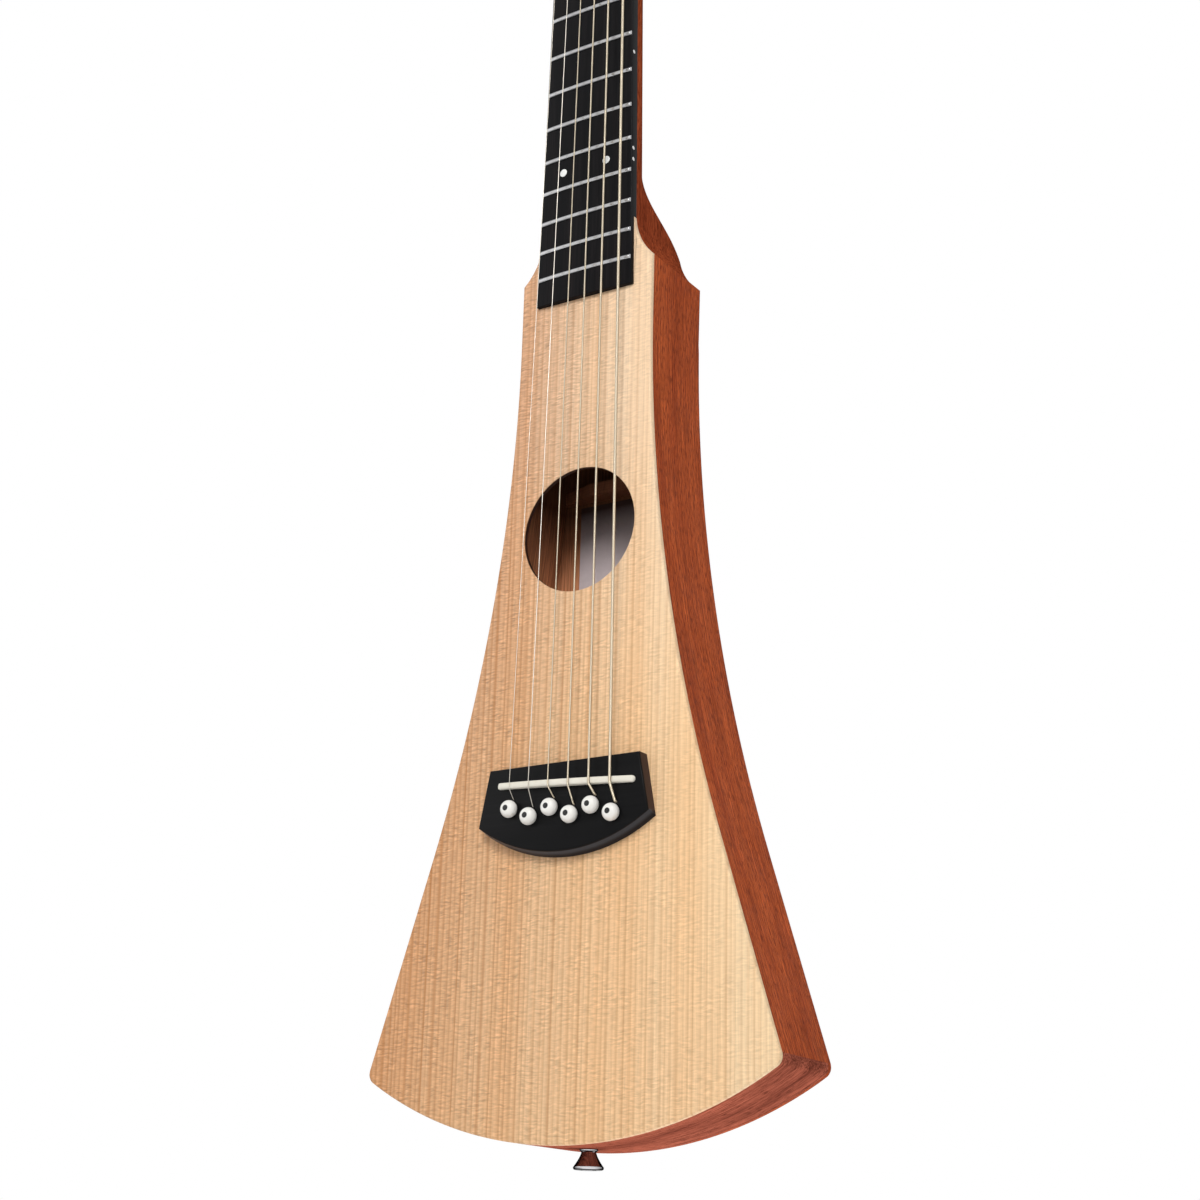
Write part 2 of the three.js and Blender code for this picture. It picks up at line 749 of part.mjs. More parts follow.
// A groove that is level over the nut's lower half and then falls towards the headstock
function nutSlot(index, diameter) {
  const at = stringAtNut(index);
  const half = diameter / 2 + string_gap + slip_gap;
  const floor = at.y + string_gap;
  const fall = (nut_thickness / 2 + cut_overrun) * Math.tan(nut_slot_fall);
  const section = [
    [-cut_overrun, at.y - cut_overrun], [-cut_overrun, floor], [nut_thickness / 2, floor],
    [nut_thickness + cut_overrun, floor + fall], [nut_thickness + cut_overrun, at.y - cut_overrun],
  ].map(([z, y]) => new THREE.Vector2(z, y));
  const sides = [at.x - half, at.x + half];
  return loft(sides.map(() => section), (p, row) => new THREE.Vector3(sides[row], p.y, p.x));
}

// Bridge and saddle

function bridge() {
  const start = bridge_margin - scale_length - treble_compensation;
  const chord = bridge_corner_width / 2;
  const bow_radius = (chord ** 2 + bridge_bow ** 2) / (2 * bridge_bow);
  const centre = new THREE.Vector2(0, start - bridge_side_length - bridge_bow + bow_radius);
  const swing = Math.asin(chord / bow_radius);
  const outline = (draft) => [
    new THREE.Vector2(-bridge_top_width / 2, start),
    new THREE.Vector2(bridge_top_width / 2, start),
    ...arc(centre, bow_radius, swing - Math.PI / 2, -swing - Math.PI / 2, tail_steps)
      .map((p) => new THREE.Vector2(p.x, p.y - draft)),
  ];
  const sections = [outline(0), outline(bridge_draft)];
  const depths = [-bridge_thickness, -glue_line];
  const body = loft(sections, (p, row) => new THREE.Vector3(p.x, depths[row], p.y));
  return body.subtract(pinBores(-bridge_thickness - cut_overrun, cut_overrun)).subtract(saddleBar(glue_line, cut_overrun));
}

// The saddle's bar; the same shape, a little larger, cuts its seat.
function saddleBar(gap, extra) {
  const half = saddle_length / 2 + gap;
  const end = saddle_length / 2 - saddle_thickness / 2;
  const seat = saddle_seat + gap - bridge_thickness;
  const crest = crown_shares.map((share) => new THREE.Vector2(saddle_shift + share * end,
    saddle_top + boardSurface(share * end) + board_proud - extra));
  const shoulder = saddle_top + boardSurface(end) + board_proud + saddle_end_drop - extra;
  const section = [new THREE.Vector2(saddle_shift - half, shoulder), ...crest,
    new THREE.Vector2(saddle_shift + half, shoulder), new THREE.Vector2(saddle_shift + half, seat),
    new THREE.Vector2(saddle_shift - half, seat)];
  const ends = [-saddle_thickness / 2 - gap, saddle_thickness / 2 + gap];
  return inSaddleFrame(loft(ends.map(() => section), (p, row) => new THREE.Vector3(p.x, p.y, ends[row])));
}

function bridgePin(index) {
  const seat = bridge_thickness + glue_line;
  const dome = pin_profile_shares.map(([r, h]) => [r * pin_head_radius, seat + h * pin_head_height]);
  const profile = [[0, seat - pin_length], [pin_tip_radius, seat - pin_length],
    [pin_shank_radius, seat], ...dome, [0, seat + pin_head_height]];
  const at = pinPlace(index);
  return turned(profile, small_sides).rotate([90, 0, 0]).translate([at.x, 0, at.z]);
}

// A string in one unbroken piece: ball end, up through the bridge, over the saddle and the nut, round its post
function stringPath(index, tuner) {
  const radius = string_diameters[index] / 2;
  const lift = radius + string_gap;
  const slot = stringSlotPlace(index);
  const plate_back_face = soundboard_thickness + bridge_plate_thickness + 2 * glue_line;
  const ball_top = plate_back_face + string_gap;
  const saddle = stringAtSaddle(index);
  const down = (y) => new THREE.Vector3(slot.x, y, slot.z);
  const start = [down(ball_top + ball_length), down(ball_top), down(ball_top - string_gap),
    down(-bridge_thickness - lift)];
  const nut_point = stringAtNut(index);
  const crest = [
    saddle.clone().add(new THREE.Vector3(0, -lift, -saddle_thickness / 2)),
    saddle.clone().add(new THREE.Vector3(0, -lift, saddle_thickness / 2)),
    nut_point.clone().add(new THREE.Vector3(0, -radius, 0)),
    nut_point.clone().add(new THREE.Vector3(0, -radius, nut_thickness / 2)),
  ];
  const wrap = postWrap(index, tuner, crest.at(-1));
  const radii = [ball_radius, ball_radius, radius, radius];
  const path = [...start, ...crest, ...wrap];
  return { path, radii: path.map((_, i) => radii[i] ?? radius) };
}

function postWrap(index, tuner, from) {
  const radius = string_diameters[index] / 2;
  const local = from.clone().applyMatrix4(head.matrix.clone().invert());
  const reach = post_radius + slip_gap + radius;
  const offset = new THREE.Vector2(local.x - tuner.x, local.z - tuner.z);
  const tangent = offset.angle() - tuner.side * Math.acos(reach / offset.length());
  const steps = Math.round(wrap_turns * wrap_steps);
  const rise = (2 * radius + wrap_space) * wrap_turns;
  return Array.from({ length: steps + 1 }, (_, i) => {
    const angle = tangent - tuner.side * 2 * Math.PI * wrap_turns * i / steps;
    return headPoint(tuner.x + reach * Math.cos(angle), -wrap_start - rise * i / steps,
      tuner.z + reach * Math.sin(angle));
  });
}

function leastWrapGap(index, path) {
  const points = path.slice(-Math.round(wrap_turns * wrap_steps) - 1);
  let least = Infinity;
  points.forEach((a, i) => points.slice(i + Math.round(wrap_steps / 2)).forEach((b) => {
    least = Math.min(least, a.distanceTo(b) - string_diameters[index]);
  }));
  return least;
}

// Strap button and its screw

function strapButton() {
  const flare = button_flare_shares.map((t_share) => [
    button_neck_radius + (button_end_radius - button_neck_radius) * t_share ** button_flare_bend,
    -(button_rim + (button_length - 2 * button_rim) * t_share),
  ]);
  const head_bore = screw_head_radius + slip_gap;
  const bore = screw_radius + slip_gap;
  const profile = [[bore, -glue_line], [button_foot_radius, -glue_line], ...flare,
    [button_end_radius, -button_length + button_rim / 2], [button_end_radius - button_rim / 2, -button_length],
    [head_bore, -button_length], [head_bore, screw_head_length - button_length],
    [bore, screw_head_length - button_length], [bore, -glue_line]];
  return turned(profile, 2 * small_sides).translate([0, mid_depth, -tail_distance]);
}

function strapScrew() {
  const low = glue_line - button_length;
  const neck_z = low + screw_head_length - 2 * glue_line;
  const profile = [[0, low], [screw_head_radius, low], [screw_head_radius, neck_z], [screw_radius, neck_z],
    [screw_radius, low + screw_length - 2 * screw_radius], [0, low + screw_length]];
  return turned(profile, bore_sides).translate([0, mid_depth, -tail_distance]);
}

// Tuning machines, in the headstock's own frame

// Wheel with leaning teeth, as wide as its pitch allows the worm to pass
function wormWheel() {
  const tip = wheel_radius + tooth_addendum;
  const root = wheel_radius - tooth_dedendum;
  const step = 2 * Math.PI / wheel_teeth;
  const half_tip = (tooth_thickness / 2 - flank_run / 2) / tip;
  const half_root = (tooth_thickness / 2 + flank_run) / root;
  const section = Array.from({ length: wheel_teeth }, (_, i) => [
    [root, i * step - half_root], [tip, i * step - half_tip],
    [tip, i * step + half_tip], [root, i * step + half_root],
  ]).flat().map(([r, angle]) => new THREE.Vector2(r * Math.cos(angle), r * Math.sin(angle)));
  const lean = wheel_width * Math.tan(lead_angle) / wheel_radius;
  const ends = [-0.5, 0.5];
  return loft(ends.map(() => section), (p, row) => {
    const q = p.clone().rotateAround(new THREE.Vector2(), -lean * ends[row]);
    return new THREE.Vector3(q.x, worm_height + wheel_width * ends[row], q.y);
  });
}

function stringPost() {
  const along = (y) => new THREE.Vector3(0, y, 0);
  const hub_start = plate_back + slip_gap;
  const wheel_end = worm_height + wheel_width / 2;
  const shaft = rod(along(-post_proud), along(wheel_end), post_radius, bore_sides);
  const hub = rod(along(hub_start), along(worm_height), hub_radius, bore_sides);
  const screw = rod(along(worm_height), along(wheel_end + wheel_screw_height), wheel_screw_radius, bore_sides);
  const hole_y = 2 * post_hole_radius - post_proud;
  const hole = rod(new THREE.Vector3(-post_radius - cut_overrun, hole_y, 0),
    new THREE.Vector3(post_radius + cut_overrun, hole_y, 0), post_hole_radius, small_sides);
  return shaft.add(hub).add(wormWheel()).add(screw).subtract(hole);
}

// A right-handed thread round the X axis, cut square at both ends
function wormThread(phase) {
  const core = worm_radius - tooth_dedendum - gear_module / 2;
  const half_tip = thread_thickness / 2 - flank_run / 2;
  const half_root = thread_thickness / 2 + flank_run;
  const section = [[core, -half_root], [worm_tip_radius, -half_tip], [worm_tip_radius, half_tip], [core, half_root]]
    .map(([r, x]) => new THREE.Vector2(r, x));
  const steps = worm_turns * thread_steps;
  const rows = Array.from({ length: steps + 1 }, (_, i) => i / thread_steps - worm_turns / 2);
  return loft(rows.map(() => section), (p, row) => {
    const angle = 2 * Math.PI * rows[row] + phase;
    return new THREE.Vector3(p.y + thread_pitch * rows[row], p.x * Math.cos(angle), p.x * Math.sin(angle));
  });
}

function tunerKnob(side) {
  const inner = ear_spacing / 2 + ear_thickness;
  const outer = (head_top_width / 2 - post_inset) + knob_clearance;
  const along = (x) => new THREE.Vector3(side * x, 0, 0);
  const core_radius = worm_radius - tooth_dedendum;
  const shaft = rod(along(-inner), along(outer + knob_length / 2), shaft_radius, small_sides);
  const core_half = worm_turns * thread_pitch / 2 + thread_thickness;
  const core = rod(along(-core_half), along(core_half), core_radius, small_sides);
  const rings = knob_profile_shares.map(([width, x]) => ({ width, x: outer + x * knob_length }));
  const oval = arc(new THREE.Vector2(), 1, 0, 2 * Math.PI, bore_sides).slice(0, -1);
  const knob = loft(rings.map(() => oval), (p, row) => new THREE.Vector3(side * rings[row].x,
    p.x * rings[row].width * knob_height / 2, p.y * rings[row].width * knob_width / 2));
  return shaft.add(core).add(wormThread(-Math.PI / 2)).add(knob);
}

function tunerPlate(side) {
  const rows = tunerPlaces().filter((place) => place.side === side).map((place) => place.z);
  const low = Math.min(...rows) - tuner_plate_end;
  const high = Math.max(...rows) + gear_distance + tuner_plate_end;
  const centre = side * post_inset;
  const back = plate_back;
  let body = box(centre - tuner_plate_width / 2, centre + tuner_plate_width / 2, head_thickness + glue_line, back,
    low, high);
  rows.forEach((z) => {
    const worm_z = z + gear_distance;
    [-1, 1].forEach((end) => {
      const middle = centre + end * (ear_spacing + ear_thickness) / 2;
      body = body.add(box(middle - ear_thickness / 2, middle + ear_thickness / 2, back - tuner_plate_thickness / 2,
        worm_height + ear_crest, worm_z - ear_width / 2, worm_z + ear_width / 2));
    });
    const reach = ear_spacing + cut_overrun;
    body = body.subtract(rod(new THREE.Vector3(centre - reach, worm_height, worm_z),
      new THREE.Vector3(centre + reach, worm_height, worm_z), shaft_radius + slip_gap, bore_sides));
    body = body.subtract(rod(new THREE.Vector3(centre, 0, z), new THREE.Vector3(centre, worm_height, z),
      post_radius + slip_gap, bore_sides));
  });
  return body;
}

// Assembly

piece(guitar, 'soundboard', soundboard(), spruce);
piece(guitar, 'back_plate', backPlate(), mahogany);
piece(guitar, 'side_bass', sideStrip(1), mahogany);
piece(guitar, 'side_treble', sideStrip(-1), mahogany);
piece(guitar, 'tail_block', tailBlock(), mahogany);
piece(guitar, 'top_brace_upper', topBrace(block_end + upper_brace_gap), brace_spruce);
piece(guitar, 'top_brace_lower', topBrace(soundhole_distance + soundhole_diameter / 2 + lower_brace_gap), brace_spruce);
piece(guitar, 'back_brace_upper', backBrace(block_end + upper_back_brace_gap), brace_spruce);
piece(guitar, 'back_brace_lower', backBrace(tail_distance - tail_block_thickness - lower_back_brace_gap
  - back_brace_width), brace_spruce);
piece(guitar, 'bridge_plate', bridgePlate(), maple);
piece(guitar, 'neck', neck(), mahogany);
piece(guitar, 'truss_rod', trussRod(), steel);
piece(guitar, 'truss_nut', trussNut(), steel);
piece(guitar, 'fingerboard', fingerboard(), black_laminate);
piece(guitar, 'nut', nut(), bone);
fretNumbers().forEach((number) => piece(guitar, `fret_${number}`, fret(number), nickel));
piece(guitar, 'bridge', bridge(), black_laminate);
piece(guitar, 'saddle', saddleBar(0, 0), bone);
piece(guitar, 'strap_button', strapButton(), chrome);
piece(guitar, 'strap_screw', strapScrew(), steel);

tunerPlaces().forEach((tuner, index) => {
  const number = index + 1;
  const { path, radii } = stringPath(index, tuner);
  const wound = string_diameters[index] > string_diameters[1];
  console.log(`string_${number}: least gap between its turns ${leastWrapGap(index, path).toFixed(2)} mm`);
  piece(guitar, `string_${number}`, tube(path, radii, string_sides), wound ? bronze : steel);
  piece(guitar, `bridge_pin_${number}`, bridgePin(index), bone);
  piece(head, `tuner_post_${number}`, stringPost(), chrome, [tuner.x, 0, tuner.z]);
  piece(head, `tuner_knob_${number}`, tunerKnob(tuner.side), chrome,
    [tuner.x, worm_height, tuner.z + gear_distance]);
});
piece(head, 'tuner_plate_bass', tunerPlate(1), chrome);
piece(head, 'tuner_plate_treble', tunerPlate(-1), chrome);

export default guitar;
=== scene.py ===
"""A travel guitar for a left-handed player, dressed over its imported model.

Sizes are in millimetres and become metres when a piece is finished. X points to the bass side,
Y from the soundboard to the back, and Z up the neck. The origin lies on the centre line at the nut.
"""
import logging
import math
from dataclasses import dataclass
from enum import Enum
from typing import Any, Callable, Iterable, Sequence

import bmesh
import bpy
from mathutils import Matrix, Vector


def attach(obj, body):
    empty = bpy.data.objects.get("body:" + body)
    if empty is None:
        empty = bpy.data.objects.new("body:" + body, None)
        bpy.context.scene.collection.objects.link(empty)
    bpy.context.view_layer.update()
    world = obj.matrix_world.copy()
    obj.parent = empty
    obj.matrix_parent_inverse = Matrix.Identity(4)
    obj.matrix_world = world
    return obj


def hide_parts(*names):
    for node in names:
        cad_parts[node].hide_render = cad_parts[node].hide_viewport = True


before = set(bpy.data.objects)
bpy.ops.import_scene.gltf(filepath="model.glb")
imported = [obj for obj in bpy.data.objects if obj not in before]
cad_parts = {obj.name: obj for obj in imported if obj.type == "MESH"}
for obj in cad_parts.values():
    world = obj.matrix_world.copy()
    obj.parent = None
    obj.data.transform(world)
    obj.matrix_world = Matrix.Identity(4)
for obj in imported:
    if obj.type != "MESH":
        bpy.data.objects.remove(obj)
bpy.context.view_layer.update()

logging.basicConfig(level=logging.INFO, format="%(message)s")
log = logging.getLogger("guitar")

MM = 0.001
GUITAR = "guitar"
FLARE_FROM = 0.388
FLARE_BEND = 1.7
WAIST_HALF = 0.0378
NEAR = 0.01
QUARTER = math.pi / 2
Edge = bmesh.types.BMEdge
Socket = bpy.types.NodeSocket
Sockets = dict[str, Any]
Tree = bpy.types.NodeTree
Material = bpy.types.Material
Point = tuple[float, float]
Place = tuple[float, float, float]
Colour = tuple[float, float, float, float]


def tone(red: int, green: int, blue: int) -> Colour:
    """Turns a colour as seen, from 0 to 255, into linear light.

    Args:
        red: red as seen.
        green: green as seen.
        blue: blue as seen.

    Returns:
        The linear colour with full alpha.
    """
    def linear(value: int) -> float:
        """Undoes the display curve for one channel."""
        share = value / 255
        return share / 12.92 if share <= 0.04045 else ((share + 0.055) / 1.055) ** 2.4
    return (linear(red), linear(green), linear(blue), 1.0)


def smooth(share: float) -> float:
    """Eases a share from 0 to 1 in and out."""
    t = min(max(share, 0.0), 1.0)
    return t * t * (3 - 2 * t)


def spaced(start: float, end: float, steps: int) -> list[float]:
    """Gives steps + 1 evenly spaced values from start to end."""
    return [start + (end - start) * i / steps for i in range(steps + 1)]


def round_turn(steps: int) -> list[float]:
    """Gives evenly spaced angles for a full turn, the last left out because it meets the first."""
    return spaced(0, math.tau, steps)[:-1]


def shift(x: float, y: float, z: float) -> Matrix:
    """Gives a move as a matrix."""
    return Matrix.Translation((x, y, z))


def middle(edge: Edge) -> Vector:
    """Gives the middle of an edge."""
    return (edge.verts[0].co + edge.verts[1].co) / 2


class NodeBench:
    """Adds nodes to one tree and joins them."""

    def __init__(self, tree: Tree) -> None:
        """Keeps the tree that the nodes go into."""
        self.tree = tree

    def feed(self, socket: Socket, value: Any) -> None:
        """Joins a socket to another, or sets it to a plain value.

        Args:
            socket: the input.
            value: an output socket, or a number, vector or colour.
        """
        if isinstance(value, Socket):
            self.tree.links.new(value, socket)
        else:
            socket.default_value = value

    def node(self, kind: str, inputs: dict[Any, Any] | None = None, **settings: Any) -> bpy.types.Node:
        """Adds a node.

        Args:
            kind: the node's type name after ShaderNode.
            inputs: values or sockets for its inputs, by name or number.
            **settings: its own properties.

        Returns:
            The node.
        """
        made = self.tree.nodes.new(f"ShaderNode{kind}")
        for name, value in settings.items():
            setattr(made, name, value)
        for name, value in (inputs or {}).items():
            self.feed(made.inputs[name], value)
        return made

    def math(self, operation: str, first: Any, second: Any = 0.0, third: Any = 0.0) -> Socket:
        """Adds a sum of two or three values and returns its result."""
        return self.node("Math", {0: first, 1: second, 2: third}, operation=operation).outputs[0]

    def times(self, first: Any, second: Any) -> Socket:
        """Multiplies two values."""
        return self.math("MULTIPLY", first, second)

    def scaled(self, vector: Any, by: Place) -> Socket:
        """Multiplies a vector by three numbers."""
        return self.node("VectorMath", {0: vector, 1: by}, operation="MULTIPLY").outputs[0]

    def parts(self, vector: Any) -> bpy.types.NodeOutputs:
        """Splits a vector into X, Y and Z."""
        return self.node("SeparateXYZ", {0: vector}).outputs

    def length(self, vector: Any) -> Socket:
        """Gives a vector's length."""
        return self.node("VectorMath", {0: vector}, operation="LENGTH").outputs["Value"]

    def grey(self, value: Any) -> Socket:
        """Turns a value into a grey."""
        return self.node("CombineColor", {0: value, 1: value, 2: value}).outputs[0]

    def place(self) -> Socket:
        """Gives the place on the object, in metres."""
        return self.node("TexCoord").outputs["Object"]

    def facing(self) -> Socket:
        """Gives how far the surface turns aside, for a metal's painted dark edge reflection."""
        return self.node("LayerWeight", {"Blend": 0.5}).outputs["Facing"]

    def noise(self, vector: Any, scale: Any, detail: float = 2.0, rough: float = 0.5) -> Socket:
        """Adds a noise texture and returns its value."""
        inputs = {"Vector": vector, "Scale": scale, "Detail": detail, "Roughness": rough}
        return self.node("TexNoise", inputs).outputs[0]

    def spread(self, value: Any, low: float, high: float, to_low: Any = 0.0, to_high: Any = 1.0) -> Socket:
        """Maps a value from one range to another, held at the ends."""
        inputs = {"Value": value, "From Min": low, "From Max": high, "To Min": to_low, "To Max": to_high}
        return self.node("MapRange", inputs).outputs[0]

    def mix(self, factor: Any, first: Any, second: Any, mode: str = "MIX") -> Socket:
        """Mixes two colours and returns the result."""
        return self.node("Mix", {0: factor, 6: first, 7: second}, data_type="RGBA", blend_type=mode).outputs[2]

    def bump(self, height: Any, depth: float) -> Socket:
        """Turns a height into a normal; depth is in metres."""
        return self.node("Bump", {"Height": height, "Distance": depth, "Strength": 1.0}).outputs[0]


def half_width(bench: NodeBench, height: Any) -> Socket:
    """Works out half the soundbox's width at a height, in metres.

    Args:
        bench: where the nodes go.
        height: Z, which is below 0.

    Returns:
        The half width.
    """
    below = bench.math("SUBTRACT", bench.times(height, -1.0), FLARE_FROM)
    run = bench.math("MAXIMUM", below, 0.0)
    grown = bench.math("DIVIDE", bench.times(run, run), FLARE_BEND)
    return bench.math("ADD", grown, WAIST_HALF)


class Effect:
    """Shader groups that more than one finish uses, each built once."""

    _made: dict[str, Tree] = {}

    @classmethod
    def _group(cls, name: str, inputs: Sequence[tuple[str, str, Any]], outputs: Sequence[str],
               build: Callable[[NodeBench, Sockets], Sockets]) -> Tree:
        """Builds a group with named sockets, or gives the one already built.

        Args:
            name: the group's name.
            inputs: name, kind and default of each input.
            outputs: name of each output, which is a value.
            build: takes the bench and the inputs by name, and returns the outputs by name.

        Returns:
            The node group.
        """
        if name in cls._made:
            return cls._made[name]
        tree = bpy.data.node_groups.new(name, "ShaderNodeTree")
        for label, kind, default in inputs:
            socket = tree.interface.new_socket(label, in_out="INPUT", socket_type=f"NodeSocket{kind}")
            if default is not None:
                socket.default_value = default
        for label in outputs:
            tree.interface.new_socket(label, in_out="OUTPUT", socket_type="NodeSocketFloat")
        start, end = tree.nodes.new("NodeGroupInput"), tree.nodes.new("NodeGroupOutput")
        results = build(NodeBench(tree), {label: start.outputs[label] for label, _, _ in inputs})
        for label, socket in results.items():
            tree.links.new(socket, end.inputs[label])
        cls._made[name] = tree
        return tree

    @classmethod
    def place(cls, bench: NodeBench, tree: Tree, values: Sockets) -> bpy.types.NodeOutputs:
        """Puts a group into a material with its own values.

        Args:
            bench: the material's bench.
            tree: the group.
            values: values or sockets for its inputs, by name.

        Returns:
            The group's outputs.
        """
        made = bench.tree.nodes.new("ShaderNodeGroup")
        made.node_tree = tree
        for name, value in values.items():
            bench.feed(made.inputs[name], value)
        return made.outputs

    @classmethod
    def growth_lines(cls) -> Tree:
        """Gives the group that draws yearly growth lines across X and along Z."""
        def build(bench: NodeBench, given: Sockets) -> Sockets:
            """Joins a drifting, unevenly spaced saw wave whose dark end is sharp.

            Args:
                bench: the group's bench.
                given: its inputs by name.

            Returns:
                Its outputs by name.
            """
            across = bench.parts(given["Vector"])[0]
            slow = bench.noise(bench.scaled(given["Vector"], (9, 9, 2.2)), 1.0)
            drift = bench.times(bench.math("SUBTRACT", slow, 0.5), given["Wander"])
            row = bench.node("CombineXYZ", {0: across}).outputs[0]
            uneven = bench.math("SUBTRACT", bench.noise(row, 130.0, 1.0), 0.5)
            even = bench.math("DIVIDE", bench.math("ADD", across, drift), given["Spacing"])
            share = bench.math("ADD", even, bench.times(uneven, 1.9))
            ramp = bench.math("FRACT", share)
            late = bench.math("POWER", ramp, 1.9)
            edge = bench.spread(ramp, 0.72, 1.0, 1.0, 0.0)
            number = bench.node("CombineXYZ", {0: bench.math("FLOOR", share)}).outputs[0]
            strength = bench.spread(bench.noise(number, 0.83, 0.0), 0.3, 0.7, 0.6, 1.5)
            return {"Lines": bench.times(bench.times(late, edge), strength)}
        inputs = [("Vector", "Vector", None), ("Spacing", "Float", 0.0028), ("Wander", "Float", 0.004)]
        return cls._group("growth_lines", inputs, ["Lines"], build)

    @classmethod
    def fibres(cls) -> Tree:
        """Gives the group that draws fine fibres along Z and broader bands of colour."""
        def build(bench: NodeBench, given: Sockets) -> Sockets:
            """Stretches two noises along the grain."""
            fine = bench.noise(bench.scaled(given["Vector"], (1, 1, 0.022)), 1500.0, 2.0, 0.6)
            long = bench.scaled(given["Vector"], (1, 1, 0.055))
            return {"Fine": fine, "Bands": bench.noise(long, given["Band Scale"], 3.0, 0.55)}
        inputs = [("Vector", "Vector", None), ("Band Scale", "Float", 90.0)]
        return cls._group("fibres", inputs, ["Fine", "Bands"], build)

    @classmethod
    def open_pores(cls) -> Tree:
        """Gives the group that draws short dark pores along Z."""
        def build(bench: NodeBench, given: Sockets) -> Sockets:
            """Cuts a long stretched noise so that only its peaks stay.

            Args:
                bench: the group's bench.
                given: its inputs by name.

            Returns:
                Its outputs by name.
            """
            dashes = bench.noise(bench.scaled(given["Vector"], (1, 1, 0.11)), 2100.0, 1.0, 0.4)
            crowd = bench.noise(bench.scaled(given["Vector"], (1, 1, 0.1)), 110.0, 1.0)
            edge = bench.math("SUBTRACT", given["Threshold"], bench.times(crowd, 0.12))
            share = bench.times(bench.math("SUBTRACT", dashes, edge), 14.0)
            return {"Pores": bench.spread(share, 0.0, 1.0)}
        inputs = [("Vector", "Vector", None), ("Threshold", "Float", 0.64)]
        return cls._group("open_pores", inputs, ["Pores"], build)

    @classmethod
    def hollow(cls) -> Tree:
        """Gives the group that finds the bare faces inside the soundbox, and the painted shade that darkens the
        inside up the neck.
        """
        def build(bench: NodeBench, given: Sockets) -> Sockets:
            """Compares the place with the soundbox's half width and the two plates.

            Args:
                bench: the group's bench.
                given: its inputs by name.

            Returns:
                Its outputs by name.
            """
            x, y, z = bench.parts(given["Vector"])
            share = bench.math("ABSOLUTE", bench.math("DIVIDE", x, half_width(bench, z)))
            between = bench.spread(share, 0.945, 0.955, 1.0, 0.0)
            before_back = bench.spread(y, 0.0441, 0.0443, 1.0, 0.0)
            above_block = bench.spread(z, -0.58, -0.57)
            below_neck = bench.spread(z, -0.3875, -0.387, 1.0, 0.0)
            within = bench.times(between, before_back)
            height = bench.times(above_block, below_neck)
            # Painted shade: grows towards the neck, where the inside of the soundbox lies unlit.
            painted_shade = bench.math("POWER", bench.spread(z, -0.5, -0.462), 1.38)
            return {"Inside": bench.times(within, height), "Painted Shade": painted_shade}
        return cls._group("hollow", [("Vector", "Vector", None)], ["Inside", "Painted Shade"], build)

    @classmethod
    def rubbed(cls) -> Tree:
        """Gives the group that makes a finish a little uneven, as hands and cloths leave it."""
        def build(bench: NodeBench, given: Sockets) -> Sockets:
            """Spreads a soft noise between two roughness values."""
            cloud = bench.noise(given["Vector"], 45.0, 3.0, 0.6)
            rough = bench.spread(cloud, 0.3, 0.7, given["Low"], given["High"])
            return {"Roughness": rough, "Cloud": cloud}
        inputs = [("Vector", "Vector", None), ("Low", "Float", 0.3), ("High", "Float", 0.4)]
        return cls._group("rubbed", inputs, ["Roughness", "Cloud"], build)


class Grain(Enum):
    """Which way a piece's grain runs, and what its pattern follows."""

    ALONG_NECK = "along_neck"
    ACROSS = "across"
    BENT = "bent"


@dataclass(frozen=True)
class Finish:
    """What every finish has: a name, the record's slot and its range of roughness."""

    name: str
    slot: str
    rough_low: float
    rough_high: float

    def start(self, grain: Grain) -> tuple[Material, NodeBench, bpy.types.Node, Any, Any]:
        """Makes an empty material with its shader, its coordinates and its uneven roughness.

        Args:
            grain: which way the pattern runs.

        Returns:
            The material, its bench, the shader, the coordinates and the rubbed group's outputs.
        """
        material = bpy.data.materials.new(f"{self.name}_{grain.value}")
        material.use_nodes = True
        tree = material.node_tree
        tree.nodes.clear()
        bench = NodeBench(tree)
        shader = bench.node("BsdfPrincipled")
        bench.node("OutputMaterial", {"Surface": shader.outputs[0]})
        vector = self.coordinates(bench, grain)
        values = {"Vector": vector, "Low": self.rough_low, "High": self.rough_high}
        rubbed = Effect.place(bench, Effect.rubbed(), values)
        bench.feed(shader.inputs["Roughness"], rubbed["Roughness"])
        return material, bench, shader, vector, rubbed

    @staticmethod
    def coordinates(bench: NodeBench, grain: Grain) -> Socket:
        """Gives the coordinates that a grain follows, with the grain along Z.

        Args:
            bench: the material's bench.
            grain: which way the grain runs.

        Returns:
            The coordinates.
        """
        if grain is Grain.BENT:
            return bench.node("Attribute", attribute_name="grain").outputs["Vector"]
        place = bench.place()
        if grain is Grain.ACROSS:
            return bench.node("Mapping", {"Vector": place, "Rotation": (0, math.pi / 2, 0)}).outputs[0]
        return place


WOOD_RELIEF = 0.00003
# Colours of the painted shade inside the soundbox, which darkens towards the neck.
PAINTED_WOOD_SHADE = tone(58, 24, 14)
PAINTED_WALL_SHADE = tone(52, 26, 16)
PAINTED_CARD_SHADE = tone(46, 24, 16)
WHITE = (1.0, 1.0, 1.0, 1.0)


